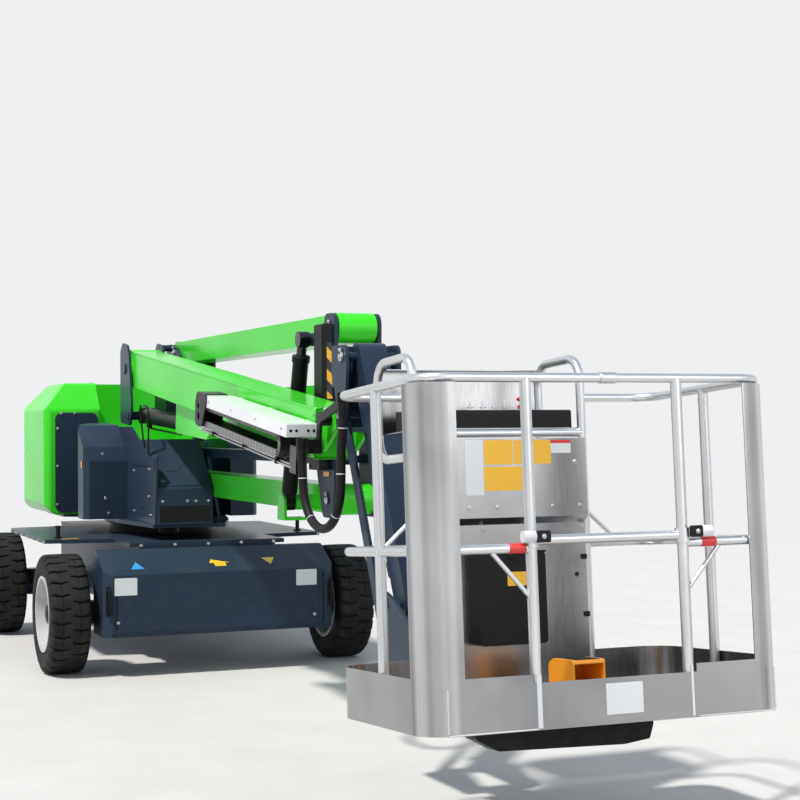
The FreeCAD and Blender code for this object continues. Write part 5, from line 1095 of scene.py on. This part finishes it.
def backdrop_floor(scene, half):
    """Floor: pale concrete near the machine that fades into the backdrop's own colour far away."""
    tree, shader = new_finish("floor")
    where = put(tree, "ShaderNodeTexCoord").outputs["Object"]
    tone = blended(tree, ranged(tree, noise(tree, where, 2.2, 8.0, 0.6), 0.3, 0.7), (0.55, 0.54, 0.53),
                   (0.60, 0.59, 0.58))
    tree.links.new(tone, shader.inputs["Base Color"])
    shader.inputs["Roughness"].default_value = 0.9
    shader.inputs["Specular IOR Level"].default_value = 0.2
    away = put(tree, "ShaderNodeVectorMath", [(0, where)], operation="LENGTH").outputs["Value"]
    pale = put(tree, "ShaderNodeEmission", Color=(*BACKDROP, 1.0), Strength=1.0)
    mix = put(tree, "ShaderNodeMixShader", [(0, ranged(tree, away, 5.0, 16.0)), (1, shader.outputs[0]),
                                            (2, pale.outputs[0])])
    tree.links.new(mix.outputs[0], tree.nodes["Material Output"].inputs["Surface"])
    mesh = bpy.data.meshes.new("floor")
    mesh.from_pydata([(-half, -half, 0), (half, -half, 0), (half, half, 0), (-half, half, 0)], [],
                     [(0, 1, 2, 3)])
    mesh.materials.append(bpy.data.materials["floor"])
    floor = bpy.data.objects.new("floor", mesh)
    scene.collection.objects.link(floor)


def photo_camera(scene):
    """Camera at the photograph's place, turned by its heading, pitch and roll."""
    camera = bpy.data.cameras.new("camera")
    camera.lens = SENSOR_WIDTH * FOCAL / PICTURE_WIDTH
    camera.sensor_width = SENSOR_WIDTH
    camera.clip_end = 500
    holder = bpy.data.objects.new("camera", camera)
    scene.collection.objects.link(holder)
    heading, pitch, roll = (math.radians(angle) for angle in CAMERA_TURN)
    ahead = Vector((-math.cos(heading) * math.cos(pitch), math.sin(heading) * math.cos(pitch),
                    math.sin(pitch)))
    right = Vector((math.sin(heading), math.cos(heading), 0))
    up = right.cross(ahead)
    rolled_right = right * math.cos(roll) - up * math.sin(roll)
    rolled_up = up * math.cos(roll) + right * math.sin(roll)
    turn = Matrix((rolled_right, rolled_up, -ahead)).transposed()
    holder.rotation_mode = "QUATERNION"
    holder.rotation_quaternion = turn.to_quaternion()
    holder.location = GROUND(CAMERA_PLACE)[0]
    scene.camera = holder


class LIFT_OT_stage(bpy.types.Operator):
    """Pale floor, soft light and the camera at the photograph's viewing angle"""
    bl_idname = "lift.stage"
    bl_label = "Stage"

    def execute(self, context):
        scene = context.scene
        backdrop_floor(scene, scene.lift_sizes.floor_size)
        backdrop_world(scene)
        for name, kind, spot, aim, energy, size in (
                ("key", "SUN", (3, -6, 11), (0, 0, 0), 3.9, math.radians(4)),
                ("side", "AREA", (11, 3, 5), (1, 0, 1), 160, 6.0)):
            lamp = bpy.data.lights.new(name, kind)
            lamp.energy = energy
            if kind == "SUN":
                lamp.angle = size
                lamp.color = (1.0, 0.96, 0.90)
            else:
                lamp.size = size
            holder = bpy.data.objects.new(name, lamp)
            scene.collection.objects.link(holder)
            holder.location = spot
            holder.rotation_mode = "QUATERNION"
            holder.rotation_quaternion = (Vector(aim) - Vector(spot)).to_track_quat("-Z", "Y")
        photo_camera(scene)
        scene.view_settings.view_transform = "Standard"
        return {"FINISHED"}


OPERATORS = (LIFT_OT_finishes, LIFT_OT_stage, LIFT_OT_hose, LIFT_OT_wheels, LIFT_OT_chassis,
             LIFT_OT_turntable, LIFT_OT_riser, LIFT_OT_boom, LIFT_OT_jib, LIFT_OT_platform)


class LIFT_PT_looks(bpy.types.Panel):
    """Sidebar panel with the lift's colours, sizes and pieces"""
    bl_idname = "LIFT_PT_looks"
    bl_label = "Boom Lift"
    bl_space_type = "VIEW_3D"
    bl_region_type = "UI"
    bl_category = "Boom Lift"

    def draw(self, context):
        for group in (context.scene.lift_colours, context.scene.lift_sizes):
            for key in group.__annotations__:
                self.layout.prop(group, key)
        for operator in OPERATORS:
            self.layout.operator(operator.bl_idname)


CLASSES = (LiftColours, LiftSizes) + OPERATORS + (LIFT_PT_looks,)


def register():
    """Makes Blender know the classes and the scene's settings."""
    for made in CLASSES:
        bpy.utils.register_class(made)
    bpy.types.Scene.lift_colours = PointerProperty(type=LiftColours)
    bpy.types.Scene.lift_sizes = PointerProperty(type=LiftSizes)


def unregister():
    """Takes them out again."""
    del bpy.types.Scene.lift_colours
    del bpy.types.Scene.lift_sizes
    for made in reversed(CLASSES):
        bpy.utils.unregister_class(made)


def main():
    register()
    for operator in OPERATORS:
        family, name = operator.bl_idname.split(".")
        getattr(getattr(bpy.ops, family), name)()


if __name__ == "__main__":
    main()
